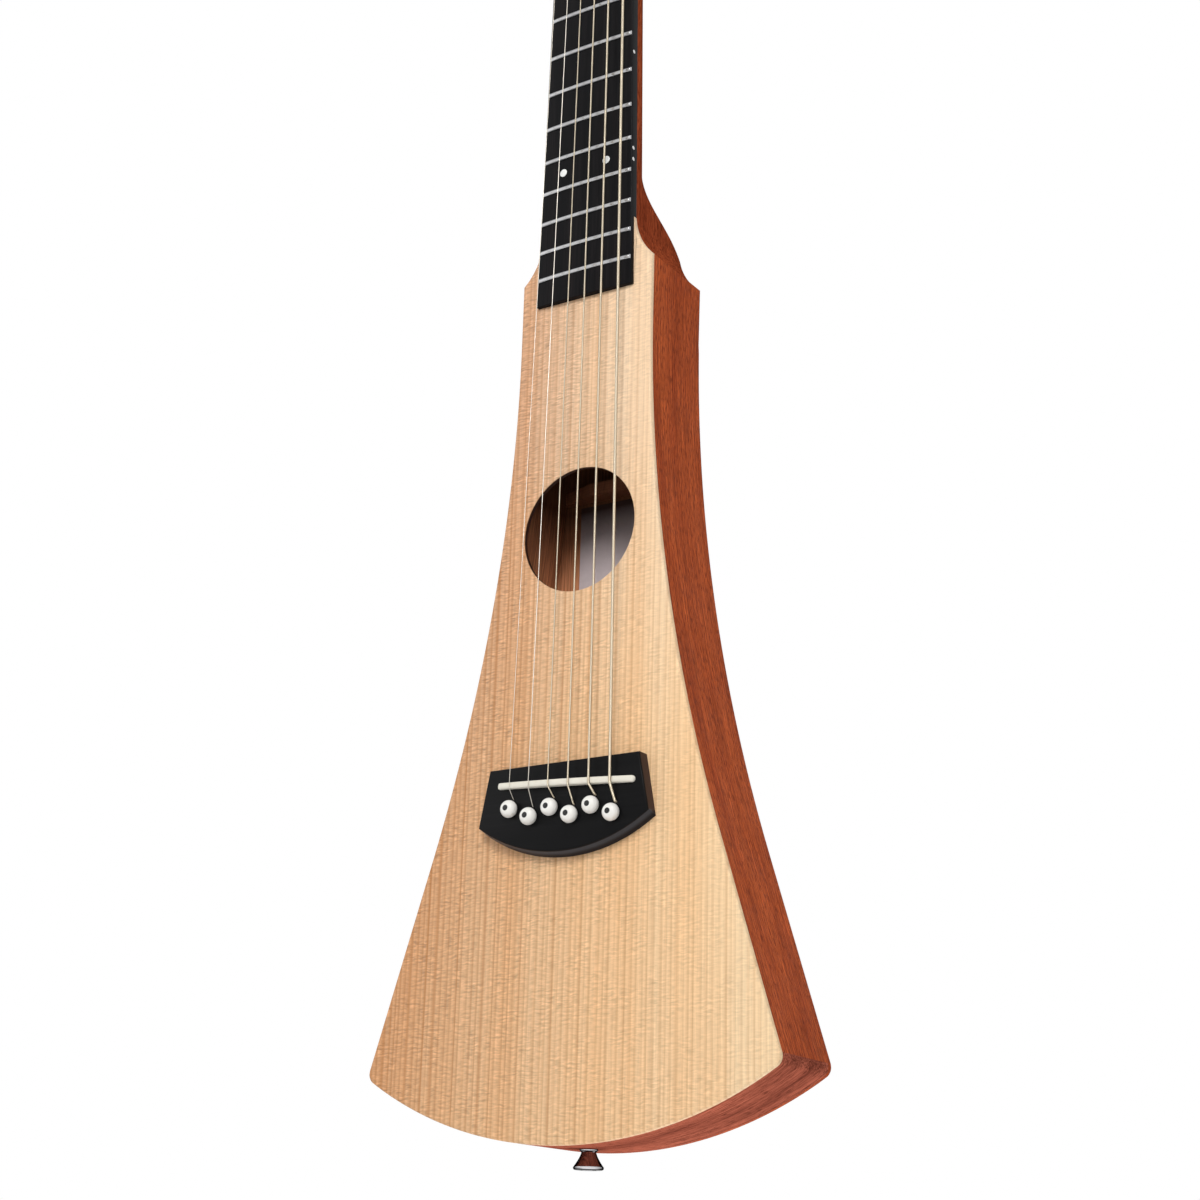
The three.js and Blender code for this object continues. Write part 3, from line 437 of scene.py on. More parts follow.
@dataclass(frozen=True)
class Softwood(Finish):
    """Pale straight-grained wood with growth lines."""

    pale: Colour
    warm: Colour
    line: Colour
    spacing: float
    line_strength: float

    def build(self, grain: Grain) -> Material:
        """Makes the material.

        Args:
            grain: which way the grain runs.

        Returns:
            The material.
        """
        material, bench, shader, vector, _ = self.start(grain)
        lines = Effect.place(bench, Effect.growth_lines(), {"Vector": vector, "Spacing": self.spacing})
        fibre = Effect.place(bench, Effect.fibres(), {"Vector": vector, "Band Scale": 38.0})
        swayed = bench.scaled(self.sway(bench, vector), (0.0, 0.0, 0.0016))
        wavy = bench.node("VectorMath", {0: vector, 1: swayed}).outputs[0]
        silk = bench.noise(bench.scaled(wavy, (0.2, 1, 1)), 1050.0, 1.5, 0.6)
        patches = bench.spread(bench.noise(vector, 75.0, 2.0), 0.4, 0.6, 0.45, 1.0)
        base = self.ground(bench, vector, bench.spread(fibre["Bands"], 0.35, 0.65))
        patchy = bench.times(bench.math("SUBTRACT", silk, 0.52), patches)
        fleck = bench.math("MULTIPLY_ADD", patchy, self.shimmer(bench, vector), 1.0)
        hair = bench.spread(fibre["Fine"], 0.3, 0.7, 0.92, 1.07)
        textured = bench.mix(1.0, base, bench.grey(bench.times(fleck, hair)), "MULTIPLY")
        strength = bench.times(lines["Lines"], self.fading(bench, vector))
        lined = bench.mix(strength, textured, self.line)
        bench.feed(shader.inputs["Base Color"], self.cover(bench, vector, lined))
        height = bench.math("ADD", bench.times(fibre["Fine"], 0.4), bench.times(silk, 0.6))
        bench.feed(shader.inputs["Normal"], bench.bump(height, WOOD_RELIEF))
        shader.inputs["Specular IOR Level"].default_value = 0.25
        return material

    def fading(self, bench: NodeBench, vector: Any) -> Any:
        """Gives how dark the growth lines are."""
        return self.line_strength

    def shimmer(self, bench: NodeBench, vector: Any) -> Any:
        """Gives how strong the silk is."""
        return 1.1

    @staticmethod
    def sway(bench: NodeBench, vector: Any) -> Socket:
        """Gives a slow noise as a vector, which bends the silk."""
        slow = bench.noise(bench.scaled(vector, (1, 1, 0.35)), 210.0, 1.0)
        return bench.node("CombineXYZ", {2: bench.math("SUBTRACT", slow, 0.5)}).outputs[0]

    def ground(self, bench: NodeBench, vector: Any, bands: Any) -> Socket:
        """Mixes the two tones of the wood by its bands."""
        return bench.mix(bands, self.pale, self.warm)

    def cover(self, bench: NodeBench, vector: Any, colour: Any) -> Socket:
        """Darkens the wood inside the soundbox towards the neck: painted shade."""
        painted_shade = Effect.place(bench, Effect.hollow(), {"Vector": bench.place()})["Painted Shade"]
        return bench.mix(bench.times(painted_shade, 0.68), colour, PAINTED_WOOD_SHADE)


@dataclass(frozen=True)
class TopWood(Softwood):
    """The soundboard's wood: painted light pales it from treble edge to bass edge, and its hole's wall is dark brown.
    """

    treble: Colour
    bass: Colour
    hole_wall_dark: Colour
    dark_band: Colour = (0.985, 0.915, 0.845, 1.0)
    light_band: Colour = (1.0, 1.035, 1.065, 1.0)
    upper_lift: Colour = (1.0, 1.05, 1.2, 1.0)
    bass_lines: float = 0.4
    upper_lines: float = 0.65
    treble_silk: float = 1.9
    bass_silk: float = 0.62
    hole_radius: float = 0.031
    hole_distance: float = 0.4898

    def share(self, bench: NodeBench, vector: Any) -> Socket:
        """Gives the place between the edges, from -1 at the treble edge to 1 at the bass edge."""
        x, _, z = bench.parts(vector)
        return bench.math("DIVIDE", x, half_width(bench, z))

    def fading(self, bench: NodeBench, vector: Any) -> Any:
        """Makes the growth lines paler towards the bass edge and above the soundhole.

        Args:
            bench: the material's bench.
            vector: the coordinates.

        Returns:
            How dark the lines are.
        """
        weakest = self.line_strength * self.bass_lines
        beside = bench.spread(self.share(bench, vector), -1.0, 1.0, self.line_strength, weakest)
        above = bench.spread(bench.parts(vector)["Z"], -0.5, -0.42, 1.0, self.upper_lines)
        return bench.times(beside, above)

    def shimmer(self, bench: NodeBench, vector: Any) -> Any:
        """Makes the silk weaker towards the bass edge."""
        return bench.spread(self.share(bench, vector), -1.0, 0.9, self.treble_silk, self.bass_silk)

    def ground(self, bench: NodeBench, vector: Any, bands: Any) -> Socket:
        """Mixes the tones by the place between the edges, a painted light that pales towards the bass edge, by the
        wood's bands and by the height.

        Args:
            bench: the material's bench.
            vector: the coordinates.
            bands: the wood's bands, from 0 to 1.

        Returns:
            The ground colour.
        """
        # Painted light: the tone pales from the treble edge to the bass edge, standing in for light falling brighter
        # on the bass side.
        share = self.share(bench, vector)
        low = bench.mix(bench.spread(share, -1.0, 0.1), self.treble, self.pale)
        whole = bench.mix(bench.spread(share, -0.1, 1.0), low, self.bass)
        banded = bench.mix(1.0, whole, bench.mix(bands, self.dark_band, self.light_band), "MULTIPLY")
        upper = bench.spread(bench.parts(vector)["Z"], -0.62, -0.44)
        return bench.mix(1.0, banded, bench.mix(upper, WHITE, self.upper_lift), "MULTIPLY")

    def cover(self, bench: NodeBench, vector: Any, colour: Any) -> Socket:
        """Colours the wall of the soundhole dark brown.

        Args:
            bench: the material's bench.
            vector: the coordinates.
            colour: the wood's colour.

        Returns:
            The colour with the dark wall.
        """
        x, y, z = bench.parts(vector)
        flat = bench.node("CombineXYZ", {0: x, 1: 0.0, 2: bench.math("ADD", z, self.hole_distance)}).outputs[0]
        inside = bench.spread(bench.length(flat), self.hole_radius + 0.00015, self.hole_radius + 0.0003, 1.0, 0.0)
        deep = bench.spread(y, 0.0003, 0.0005)
        return bench.mix(bench.times(inside, deep), colour, self.hole_wall_dark)


@dataclass(frozen=True)
class PorousWood(Finish):
    """Red-brown wood with ribbons of colour and open pores."""

    light: Colour
    dark: Colour
    pore: Colour
    bare: Colour
    threshold: float = 0.59
    specular: float = 0.015
    pore_strength: float = 0.62
    shade_strength: float = 0.85

    def build(self, grain: Grain) -> Material:
        """Makes the material.

        Args:
            grain: which way the grain runs.

        Returns:
            The material.
        """
        material, bench, shader, vector, _ = self.start(grain)
        fibre = Effect.place(bench, Effect.fibres(), {"Vector": vector, "Band Scale": 120.0})
        values = {"Vector": vector, "Threshold": self.threshold}
        pores = Effect.place(bench, Effect.open_pores(), values)["Pores"]
        figure = bench.noise(bench.scaled(vector, (1, 1, 0.22)), 70.0, 3.0, 0.6)
        broad = bench.times(bench.spread(fibre["Bands"], 0.25, 0.75), 0.65)
        ribbon = bench.math("ADD", broad, bench.times(bench.spread(figure, 0.35, 0.65), 0.35))
        hair = bench.grey(bench.spread(fibre["Fine"], 0.3, 0.7, 0.52, 1.46))
        shaded = bench.mix(1.0, bench.mix(ribbon, self.dark, self.light), hair, "MULTIPLY")
        worked = bench.mix(bench.times(pores, self.pore_strength), shaded, self.pore)
        # Painted shade: the bare faces inside the soundbox darken towards the neck, where it is unlit.
        hollow = Effect.place(bench, Effect.hollow(), {"Vector": bench.place()})
        bare = bench.mix(1.0, self.bare, hair, "MULTIPLY")
        painted_shade_inside = bench.mix(bench.times(hollow["Painted Shade"], self.shade_strength), bare, PAINTED_WALL_SHADE)
        bench.feed(shader.inputs["Base Color"], bench.mix(hollow["Inside"], worked, painted_shade_inside))
        height = bench.math("SUBTRACT", bench.times(fibre["Fine"], 0.35), pores)
        bench.feed(shader.inputs["Normal"], bench.bump(height, WOOD_RELIEF))
        shader.inputs["Specular IOR Level"].default_value = self.specular
        return material


@dataclass(frozen=True)
class Laminate(Finish):
    """Black laminate with a faint grain and a low sheen; a cut edge may show other colours in layers, which on the
    bridge are a painted pale reflection along the side's upper band, a darker band below it and brown core wood
    towards the nut.
    """

    colour: Colour
    streak: Colour
    core: Colour | None = None
    core_from: float = 0.0
    core_foot: Colour | None = None
    core_end: Colour | None = None
    core_end_from: float = 0.0
    specular: float = 0.1
    core_edge: float = 0.0004
    core_end_edge: float = 0.0006
    foot_from: float = 0.0022
    foot_to: float = 0.0042

    def build(self, grain: Grain) -> Material:
        """Makes the material.

        Args:
            grain: which way the grain runs.

        Returns:
            The material.
        """
        material, bench, shader, vector, _ = self.start(grain)
        fibre = Effect.place(bench, Effect.fibres(), {"Vector": vector, "Band Scale": 160.0})
        factor = bench.times(bench.spread(fibre["Bands"], 0.4, 0.75), bench.spread(fibre["Fine"], 0.3, 0.8))
        colour = bench.mix(factor, self.colour, self.streak)
        # On the bridge: the edge's upper band is a painted reflection, the band below it darker, and towards the nut
        # it shows brown core wood.
        if self.core is not None:
            _, depth, height = bench.parts(bench.place())
            foot = bench.spread(depth, self.core_from + self.foot_from, self.core_from + self.foot_to)
            end = bench.spread(height, self.core_end_from, self.core_end_from + self.core_end_edge)
            core = bench.mix(end, bench.mix(foot, self.core, self.core_foot), self.core_end)
            cut = bench.spread(depth, self.core_from, self.core_from + self.core_edge)
            colour = bench.mix(cut, colour, core)
        bench.feed(shader.inputs["Base Color"], colour)
        bench.feed(shader.inputs["Normal"], bench.bump(fibre["Fine"], 0.000015))
        shader.inputs["Specular IOR Level"].default_value = self.specular
        return material


@dataclass(frozen=True)
class Polished(Finish):
    """Smooth moulded plastic, bone or card with a faint mottle."""

    colour: Colour
    shade: Colour
    coat: float = 0.0
    painted_shade: float = 0.0
    specular: float = 0.3

    def build(self, grain: Grain) -> Material:
        """Makes the material.

        Args:
            grain: which way the mottle runs.

        Returns:
            The material.
        """
        material, bench, shader, vector, rubbed = self.start(grain)
        fleck = bench.noise(vector, 420.0, 3.0, 0.6)
        blend = bench.times(bench.spread(rubbed["Cloud"], 0.3, 0.7), bench.spread(fleck, 0.25, 0.75))
        colour = bench.mix(blend, self.colour, self.shade)
        # Painted shade: with a weight, the card darkens towards the neck, where the soundbox is unlit.
        if self.painted_shade > 0:
            painted_shade = Effect.place(bench, Effect.hollow(), {"Vector": vector})["Painted Shade"]
            colour = bench.mix(bench.times(painted_shade, self.painted_shade), colour, PAINTED_CARD_SHADE)
        bench.feed(shader.inputs["Base Color"], colour)
        bench.feed(shader.inputs["Normal"], bench.bump(fleck, 0.00001))
        shader.inputs["Coat Weight"].default_value = self.coat
        shader.inputs["Specular IOR Level"].default_value = self.specular
        return material


@dataclass(frozen=True)
class Metal(Finish):
    """Plated or bare metal with fine rubbing marks and a painted dark reflection along its edges."""

    colour: Colour
    shade: Colour
    edge_reflection: Colour
    edge_reflection_from: float = 0.5
    edge_reflection_to: float = 0.95
    marks: float = 0.000004

    def build(self, grain: Grain) -> Material:
        """Makes the material.

        Args:
            grain: which way the rubbing marks run.

        Returns:
            The material.
        """
        material, bench, shader, vector, rubbed = self.start(grain)
        fibre = Effect.place(bench, Effect.fibres(), {"Vector": vector, "Band Scale": 240.0})
        colour = bench.mix(bench.spread(rubbed["Cloud"], 0.3, 0.8), self.colour, self.shade)
        # Painted reflection: the colour darkens where the surface turns aside, as a dark edge reflection.
        aside = bench.spread(bench.facing(), self.edge_reflection_from, self.edge_reflection_to)
        bench.feed(shader.inputs["Base Color"], bench.mix(aside, colour, self.edge_reflection))
        shader.inputs["Metallic"].default_value = 1.0
        shader.inputs["Specular Tint"].default_value = self.edge_reflection
        bench.feed(shader.inputs["Normal"], bench.bump(fibre["Fine"], self.marks))
        return material


@dataclass(frozen=True)
class Winding(Finish):
    """Fine wire wound round a string's core, with painted shade between its turns and a painted dark edge; it follows
    the string's own length.
    """

    colour: Colour
    groove_shade: Colour
    edge_reflection: Colour
    pitch: float
    relief: float = 0.25

    def build(self, grain: Grain) -> Material:
        """Makes the material.

        Args:
            grain: which way the rubbing marks run.

        Returns:
            The material.
        """
        material, bench, shader, _, _ = self.start(grain)
        length = bench.node("Attribute", attribute_name="length").outputs["Fac"]
        turn = bench.math("FRACT", bench.math("DIVIDE", length, self.pitch))
        hump = bench.math("SINE", bench.times(turn, math.pi))
        # Painted shade: the grooves between turns are darker.
        wound = bench.mix(hump, self.groove_shade, self.colour)
        # Painted dark edge, for reflection and shade: the string darkens where it turns aside.
        aside = bench.spread(bench.facing(), 0.55, 0.98)
        bench.feed(shader.inputs["Base Color"], bench.mix(aside, wound, self.edge_reflection))
        shader.inputs["Metallic"].default_value = 1.0
        shader.inputs["Specular Tint"].default_value = self.edge_reflection
        bench.feed(shader.inputs["Normal"], bench.bump(hump, self.pitch * self.relief))
        return material


# The treble and bass tones are painted light, darker at the treble edge and paler at the bass edge; the last tone is
# the soundhole wall's dark brown.
SPRUCE = TopWood("spruce", "spruce", 0.42, 0.52, tone(234, 193, 148), tone(233, 192, 141), tone(172, 110, 54),
                 0.0029, 0.95, tone(213, 164, 122), tone(245, 212, 168), tone(52, 28, 18))
# The braces' spruce is darker and redder than the soundboard's: painted shade for wood that lies in the soundbox's
# shadow.
BRACE_SPRUCE = Softwood("brace_spruce", "brace_spruce", 0.6, 0.75, tone(188, 122, 84), tone(172, 108, 72),
                        tone(130, 78, 48), 0.0016, 0.6)
MAPLE = Softwood("maple", "maple", 0.6, 0.72, tone(222, 196, 156), tone(214, 186, 144), tone(190, 158, 118),
                 0.004, 0.3)
BARE_MAHOGANY = tone(196, 134, 96)
MAHOGANY = PorousWood("mahogany", "mahogany", 0.38, 0.5, tone(206, 101, 54), tone(153, 63, 31),
                      tone(96, 38, 20), BARE_MAHOGANY)
# The tail's copy of the mahogany: its pinker light tone is a painted sheen from light below; its stronger contrast is
# the tail's own figure.
TAIL_MAHOGANY = PorousWood("tail_mahogany", "mahogany", 0.38, 0.5, tone(198, 110, 86), tone(102, 48, 37),
                           tone(68, 29, 22), BARE_MAHOGANY, 0.62, 0.0)
# The neck's copy of the mahogany is darker: painted shade on the neck and heel.
NECK_MAHOGANY = PorousWood("neck_mahogany", "mahogany", 0.36, 0.48, tone(176, 84, 50), tone(126, 54, 32),
                           tone(80, 31, 18), BARE_MAHOGANY, specular=0.0)
EBONY_LAMINATE = Laminate("black_laminate", "black_laminate", 0.3, 0.42, tone(12, 12, 14), tone(36, 31, 32),
                          specular=0.07)
# The bridge's grey-blue edge tone is a painted reflection; its brown edge tone is core wood.
BRIDGE_LAMINATE = Laminate("bridge_laminate", "black_laminate", 0.3, 0.42, tone(12, 12, 13), tone(24, 23, 24),
                           tone(66, 69, 76), -0.0062, tone(34, 33, 36), tone(62, 46, 42), -0.6318, 0.08)
BONE = Polished("bone", "bone", 0.3, 0.42, tone(232, 227, 214), tone(220, 213, 197), specular=0.15)
PIN_WHITE = Polished("pin_white", "bone", 0.22, 0.32, tone(240, 238, 233), tone(230, 227, 219), 0.1)
PIN_DOT = Polished("pin_dot", "bone", 0.3, 0.4, tone(16, 16, 17), tone(28, 28, 30), 0.2)
PEARL = Polished("pearl", "bone", 0.2, 0.3, tone(244, 244, 240), tone(222, 226, 226), 0.4)
# The card darkens towards the neck: painted shade.
CARD = Polished("card", "bone", 0.7, 0.85, tone(218, 206, 208), tone(206, 194, 194), painted_shade=0.98, specular=0.1)
# Each metal's third colour is its painted dark edge reflection; the wound wire's second colour is the painted shade
# between its turns, its third its painted dark edge.
NICKEL = Metal("nickel", "nickel", 0.22, 0.34, tone(188, 188, 189), tone(170, 170, 172), tone(74, 74, 78), 0.42)
CHROME = Metal("chrome", "chrome", 0.06, 0.14, tone(214, 212, 214), tone(196, 194, 197), tone(12, 10, 10), 0.1,
               0.64, 0.000001)
STEEL = Metal("steel", "steel", 0.25, 0.38, tone(200, 200, 203), tone(180, 180, 184), tone(90, 90, 94), 0.5)
PLAIN_WIRE = Metal("plain_wire", "steel", 0.28, 0.38, tone(212, 205, 194), tone(195, 188, 177),
                   tone(112, 99, 84), 0.46, marks=0.000001)
WOUND_WIRE = Winding("wound_wire", "bronze", 0.28, 0.38, tone(226, 215, 193), tone(180, 163, 136),
                     tone(112, 90, 64), 0.00032)


class Shop:
    """Keeps one material for each finish and direction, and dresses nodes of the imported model."""

    _materials: dict[tuple[Finish, Grain], Material] = {}

    @classmethod
    def material(cls, finish: Finish, grain: Grain) -> Material:
        """Gives a finish's material, built on its first use.

        Args:
            finish: the finish.
            grain: which way its grain runs.

        Returns:
            The material.
        """
        key = (finish, grain)
        if key not in cls._materials:
            cls._materials[key] = finish.build(grain)
        return cls._materials[key]

    @classmethod
    def dress(cls, node: str, finish: Finish, grain: Grain = Grain.ALONG_NECK) -> None:
        """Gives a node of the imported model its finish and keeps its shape.

        Args:
            node: the node's name.
            finish: its finish.
            grain: which way its grain runs.
        """
        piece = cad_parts[node]
        piece.data.materials.clear()
        piece.data.materials.append(cls.material(finish, grain))
        log.info("dressed %s in %s", node, finish.name)


class Blank:
    """A piece being made: a bmesh in millimetres that ends as one object at the origin."""

    def __init__(self) -> None:
        """Starts with an empty mesh."""
        self.mesh = bmesh.new()

    def ring(self, points: Iterable[Sequence[float]], closed: bool = True) -> list[Edge]:
        """Adds points joined by edges.

        Args:
            points: places in millimetres.
            closed: whether the last point joins the first.

        Returns:
            The edges.
        """
        corners = [self.mesh.verts.new(point) for point in points]
        pairs = list(zip(corners, corners[1:])) + ([(corners[-1], corners[0])] if closed else [])
        return [self.mesh.edges.new(pair) for pair in pairs]

    def loft(self, sections: Sequence[Sequence[Sequence[float]]]) -> None:
        """Joins closed sections with an equal count of points by bridges, and fills both ends.

        Args:
            sections: one list of places for each section.
        """
        self.join([self.ring(section) for section in sections])

    def join(self, rings: Sequence[list[Edge]]) -> None:
        """Bridges rings, each to the next, and fills the first and the last.

        Args:
            rings: the edges of each ring.
        """
        for near, far in zip(rings, rings[1:]):
            bmesh.ops.bridge_loops(self.mesh, edges=near + far)
        for end in (rings[0], rings[-1]):
            bmesh.ops.contextual_create(self.mesh, geom=end)

    def prism(self, outline: Sequence[Point], low: float, high: float,
              openings: Sequence[Sequence[Point]] = ()) -> None:
        """Fills an outline in the plane of X and Z and extrudes it along Y.

        Args:
            outline: the outer places, as X and Z.
            low: Y of the outer face.
            high: Y of the other face.
            openings: outlines that are left open.
        """
        edges = [edge for loop in (outline, *openings) for edge in self.ring([(x, low, z) for x, z in loop])]
        if openings:
            filled = bmesh.ops.triangle_fill(self.mesh, use_beauty=True, edges=edges)["geom"]
            faces = [part for part in filled if isinstance(part, bmesh.types.BMFace)]
        else:
            faces = bmesh.ops.contextual_create(self.mesh, geom=edges)["faces"]
        grown = bmesh.ops.extrude_face_region(self.mesh, geom=faces)["geom"]
        moved = [part for part in grown if isinstance(part, bmesh.types.BMVert)]
        bmesh.ops.translate(self.mesh, verts=moved, vec=(0, high - low, 0))
        self.close()

    def turned(self, profile: Sequence[Point], steps: int, closed: bool = False) -> None:
        """Spins a profile of radius and height round Z.

        Args:
            profile: radius and height of each point.
            steps: how many steps make the full turn.
            closed: whether it is a loop round a hole, and not a line from pole to pole.
        """
        edges = self.ring([(radius, 0, height) for radius, height in profile], closed)
        geom = edges + list({corner for edge in edges for corner in edge.verts})
        bmesh.ops.spin(self.mesh, geom=geom, cent=(0, 0, 0), axis=(0, 0, 1), angle=math.tau, steps=steps,
                       use_merge=True)
        self.close()

    def tube(self, path: Sequence[Vector], radius: float, sides: int) -> None:
        """Sweeps a circle along a path and notes the length run at each ring.

        Args:
            path: the places of the middle, in millimetres.
            radius: the tube's radius.
            sides: how many sides the circle has.
        """
        length = self.mesh.verts.layers.float.new("length")
        before, turn, rings, run = None, None, [], 0.0
        for index, place in enumerate(path):
            ahead = (path[min(index + 1, len(path) - 1)] - path[max(index - 1, 0)]).normalized()
            carried = ahead.orthogonal() if turn is None else before.rotation_difference(ahead) @ turn
            before, turn = ahead, carried.normalized()
            side = ahead.cross(turn)
            run += (place - path[index - 1]).length if index else 0.0
            edges = self.ring([place + radius * (math.cos(a) * turn + math.sin(a) * side) for a in round_turn(sides)])
            for corner in {corner for edge in edges for corner in edge.verts}:
                corner[length] = run * MM
            rings.append(edges)
        self.join(rings)
        self.close()

    def block(self, low: Sequence[float], high: Sequence[float]) -> list[bmesh.types.BMVert]:
        """Adds a box.

        Args:
            low: its lowest corner.
            high: its highest corner.

        Returns:
            Its eight corners.
        """
        made = bmesh.ops.create_cube(self.mesh, size=1.0)["verts"]
        bmesh.ops.scale(self.mesh, vec=[b - a for a, b in zip(low, high)], verts=made)
        bmesh.ops.translate(self.mesh, vec=[(a + b) / 2 for a, b in zip(low, high)], verts=made)
        return made

    def soften(self, offset: float, segments: int, choose: Callable[[Edge], bool], angle: float = 35.0) -> None:
        """Bevels the sharp edges that are chosen.

        Args:
            offset: the bevel's width.
            segments: how many steps round it.
            choose: takes an edge and says whether it is bevelled.
            angle: the least angle between faces, in degrees, that counts as sharp.
        """
        edges = [edge for edge in self.mesh.edges if len(edge.link_faces) == 2
                 and edge.calc_face_angle(0.0) > math.radians(angle) and choose(edge)]
        bmesh.ops.bevel(self.mesh, geom=edges, offset=offset, offset_type="OFFSET", affect="EDGES",
                        segments=segments, profile=0.5, material=-1, clamp_overlap=False)

    def close(self) -> None:
        """Merges doubles and turns every face outwards."""
        bmesh.ops.remove_doubles(self.mesh, verts=self.mesh.verts, dist=0.001)
        bmesh.ops.recalc_face_normals(self.mesh, faces=self.mesh.faces)

    def follow(self, grain: Callable[[Vector], Sequence[float]]) -> None:
        """Notes at each corner where it lies in a bent piece's grain, in metres.

        Args:
            grain: takes a place and gives its place in the grain, in millimetres.
        """
        layer = self.mesh.verts.layers.float_vector.new("grain")
        for corner in self.mesh.verts:
            corner[layer] = [value * MM for value in grain(corner.co)]

    def finish(self, name: str, finish: Finish, body: str = GUITAR, replaces: Sequence[str] = (),
               grain: Grain = Grain.ALONG_NECK, place: Matrix | None = None, crease: float = 32.0) -> None:
        """Ends the piece: metres, smooth shading, finish, body and the nodes it stands for.

        Args:
            name: the piece's name.
            finish: its finish.
            body: the body that it rides on.
            replaces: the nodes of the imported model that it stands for.
            grain: which way its grain runs.
            place: where it goes, if it was made about the origin.
            crease: the angle, in degrees, past which an edge stays sharp.
        """
        if place is not None:
            bmesh.ops.transform(self.mesh, matrix=place, verts=self.mesh.verts)
        self.close()
        bmesh.ops.scale(self.mesh, vec=(MM, MM, MM), verts=self.mesh.verts)
        data = bpy.data.meshes.new(name)
        self.mesh.to_mesh(data)
        self.mesh.free()
        data.shade_smooth()
        data.set_sharp_from_angle(angle=math.radians(crease))
        data.materials.append(Shop.material(finish, grain))
        piece = bpy.data.objects.new(name, data)
        bpy.context.scene.collection.objects.link(piece)
        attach(piece, body)
        if replaces:
            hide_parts(*replaces)
        log.info("made %s: %d faces", name, len(data.polygons))


@dataclass(frozen=True)
class Layout:
    """Sizes that several sub-assemblies share."""

    scale_length: float = 609.6
    tail_length: float = 164.1
    board_frets: int = 16
    nut_width: float = 43.0
    board_end_width: float = 55.5
    board_radius: float = 406.0
    board_proud: float = 3.1
    fret_height: float = 1.0
    soundboard_thickness: float = 2.4
    body_depth: float = 47.0
    back_thickness: float = 3.0
    side_thickness: float = 4.0
    shoulder_width: float = 75.6
    cove_overlap: float = 39.7
    cove_radius: float = 34.0
    seam: float = 0.05
    slip: float = 0.3
    string_diameters: tuple[float, ...] = (0.3, 0.41, 0.61, 0.81, 1.07, 1.35)

    def fret_distance(self, number: float) -> float:
        """Gives how far a fret lies below the nut."""
        return self.scale_length * (1 - 2 ** (-number / 12))

    @property
    def tail(self) -> float:
        """How far below the nut the body ends."""
        return self.scale_length + self.tail_length

    @property
    def board_length(self) -> float:
        """The fingerboard's length."""
        return self.fret_distance(self.board_frets)

    @property
    def cove_start(self) -> float:
        """How far below the nut the body's cove starts."""
        return self.board_length - self.cove_overlap

    @property
    def shoulder(self) -> float:
        """How far below the nut the cove meets the body's side."""
        reach = self.cove_radius - (self.shoulder_width / 2 - self.board_half(self.cove_start))
        return self.cove_start + math.sqrt(self.cove_radius ** 2 - reach ** 2)

    @property
    def inner_front(self) -> float:
        """Y of what lies under the soundboard."""
        return self.soundboard_thickness + self.seam

    @property
    def inner_back(self) -> float:
        """Y of the back plate's inner face."""
        return self.body_depth - self.back_thickness

    def board_half(self, distance: float) -> float:
        """Gives half the fingerboard's width at a distance below the nut."""
        share = distance / self.board_length
        return (self.nut_width + (self.board_end_width - self.nut_width) * share) / 2

    def board_top(self, x: float) -> float:
        """Gives Y of the crowned fingerboard at x."""
        return self.board_radius - self.board_proud - math.sqrt(self.board_radius ** 2 - x ** 2)

    def cove_half(self, distance: float) -> float:
        """Gives half the width of the cove between neck and shoulder."""
        drop = min(max(distance - self.cove_start, 0.0), self.shoulder - self.cove_start)
        return self.board_half(self.cove_start) + self.cove_radius - math.sqrt(self.cove_radius ** 2 - drop ** 2)

    def string_share(self, index: int) -> float:
        """Gives a string's place across, from -0.5 at the treble side to 0.5."""
        return index / (len(self.string_diameters) - 1) - 0.5


LAYOUT = Layout()


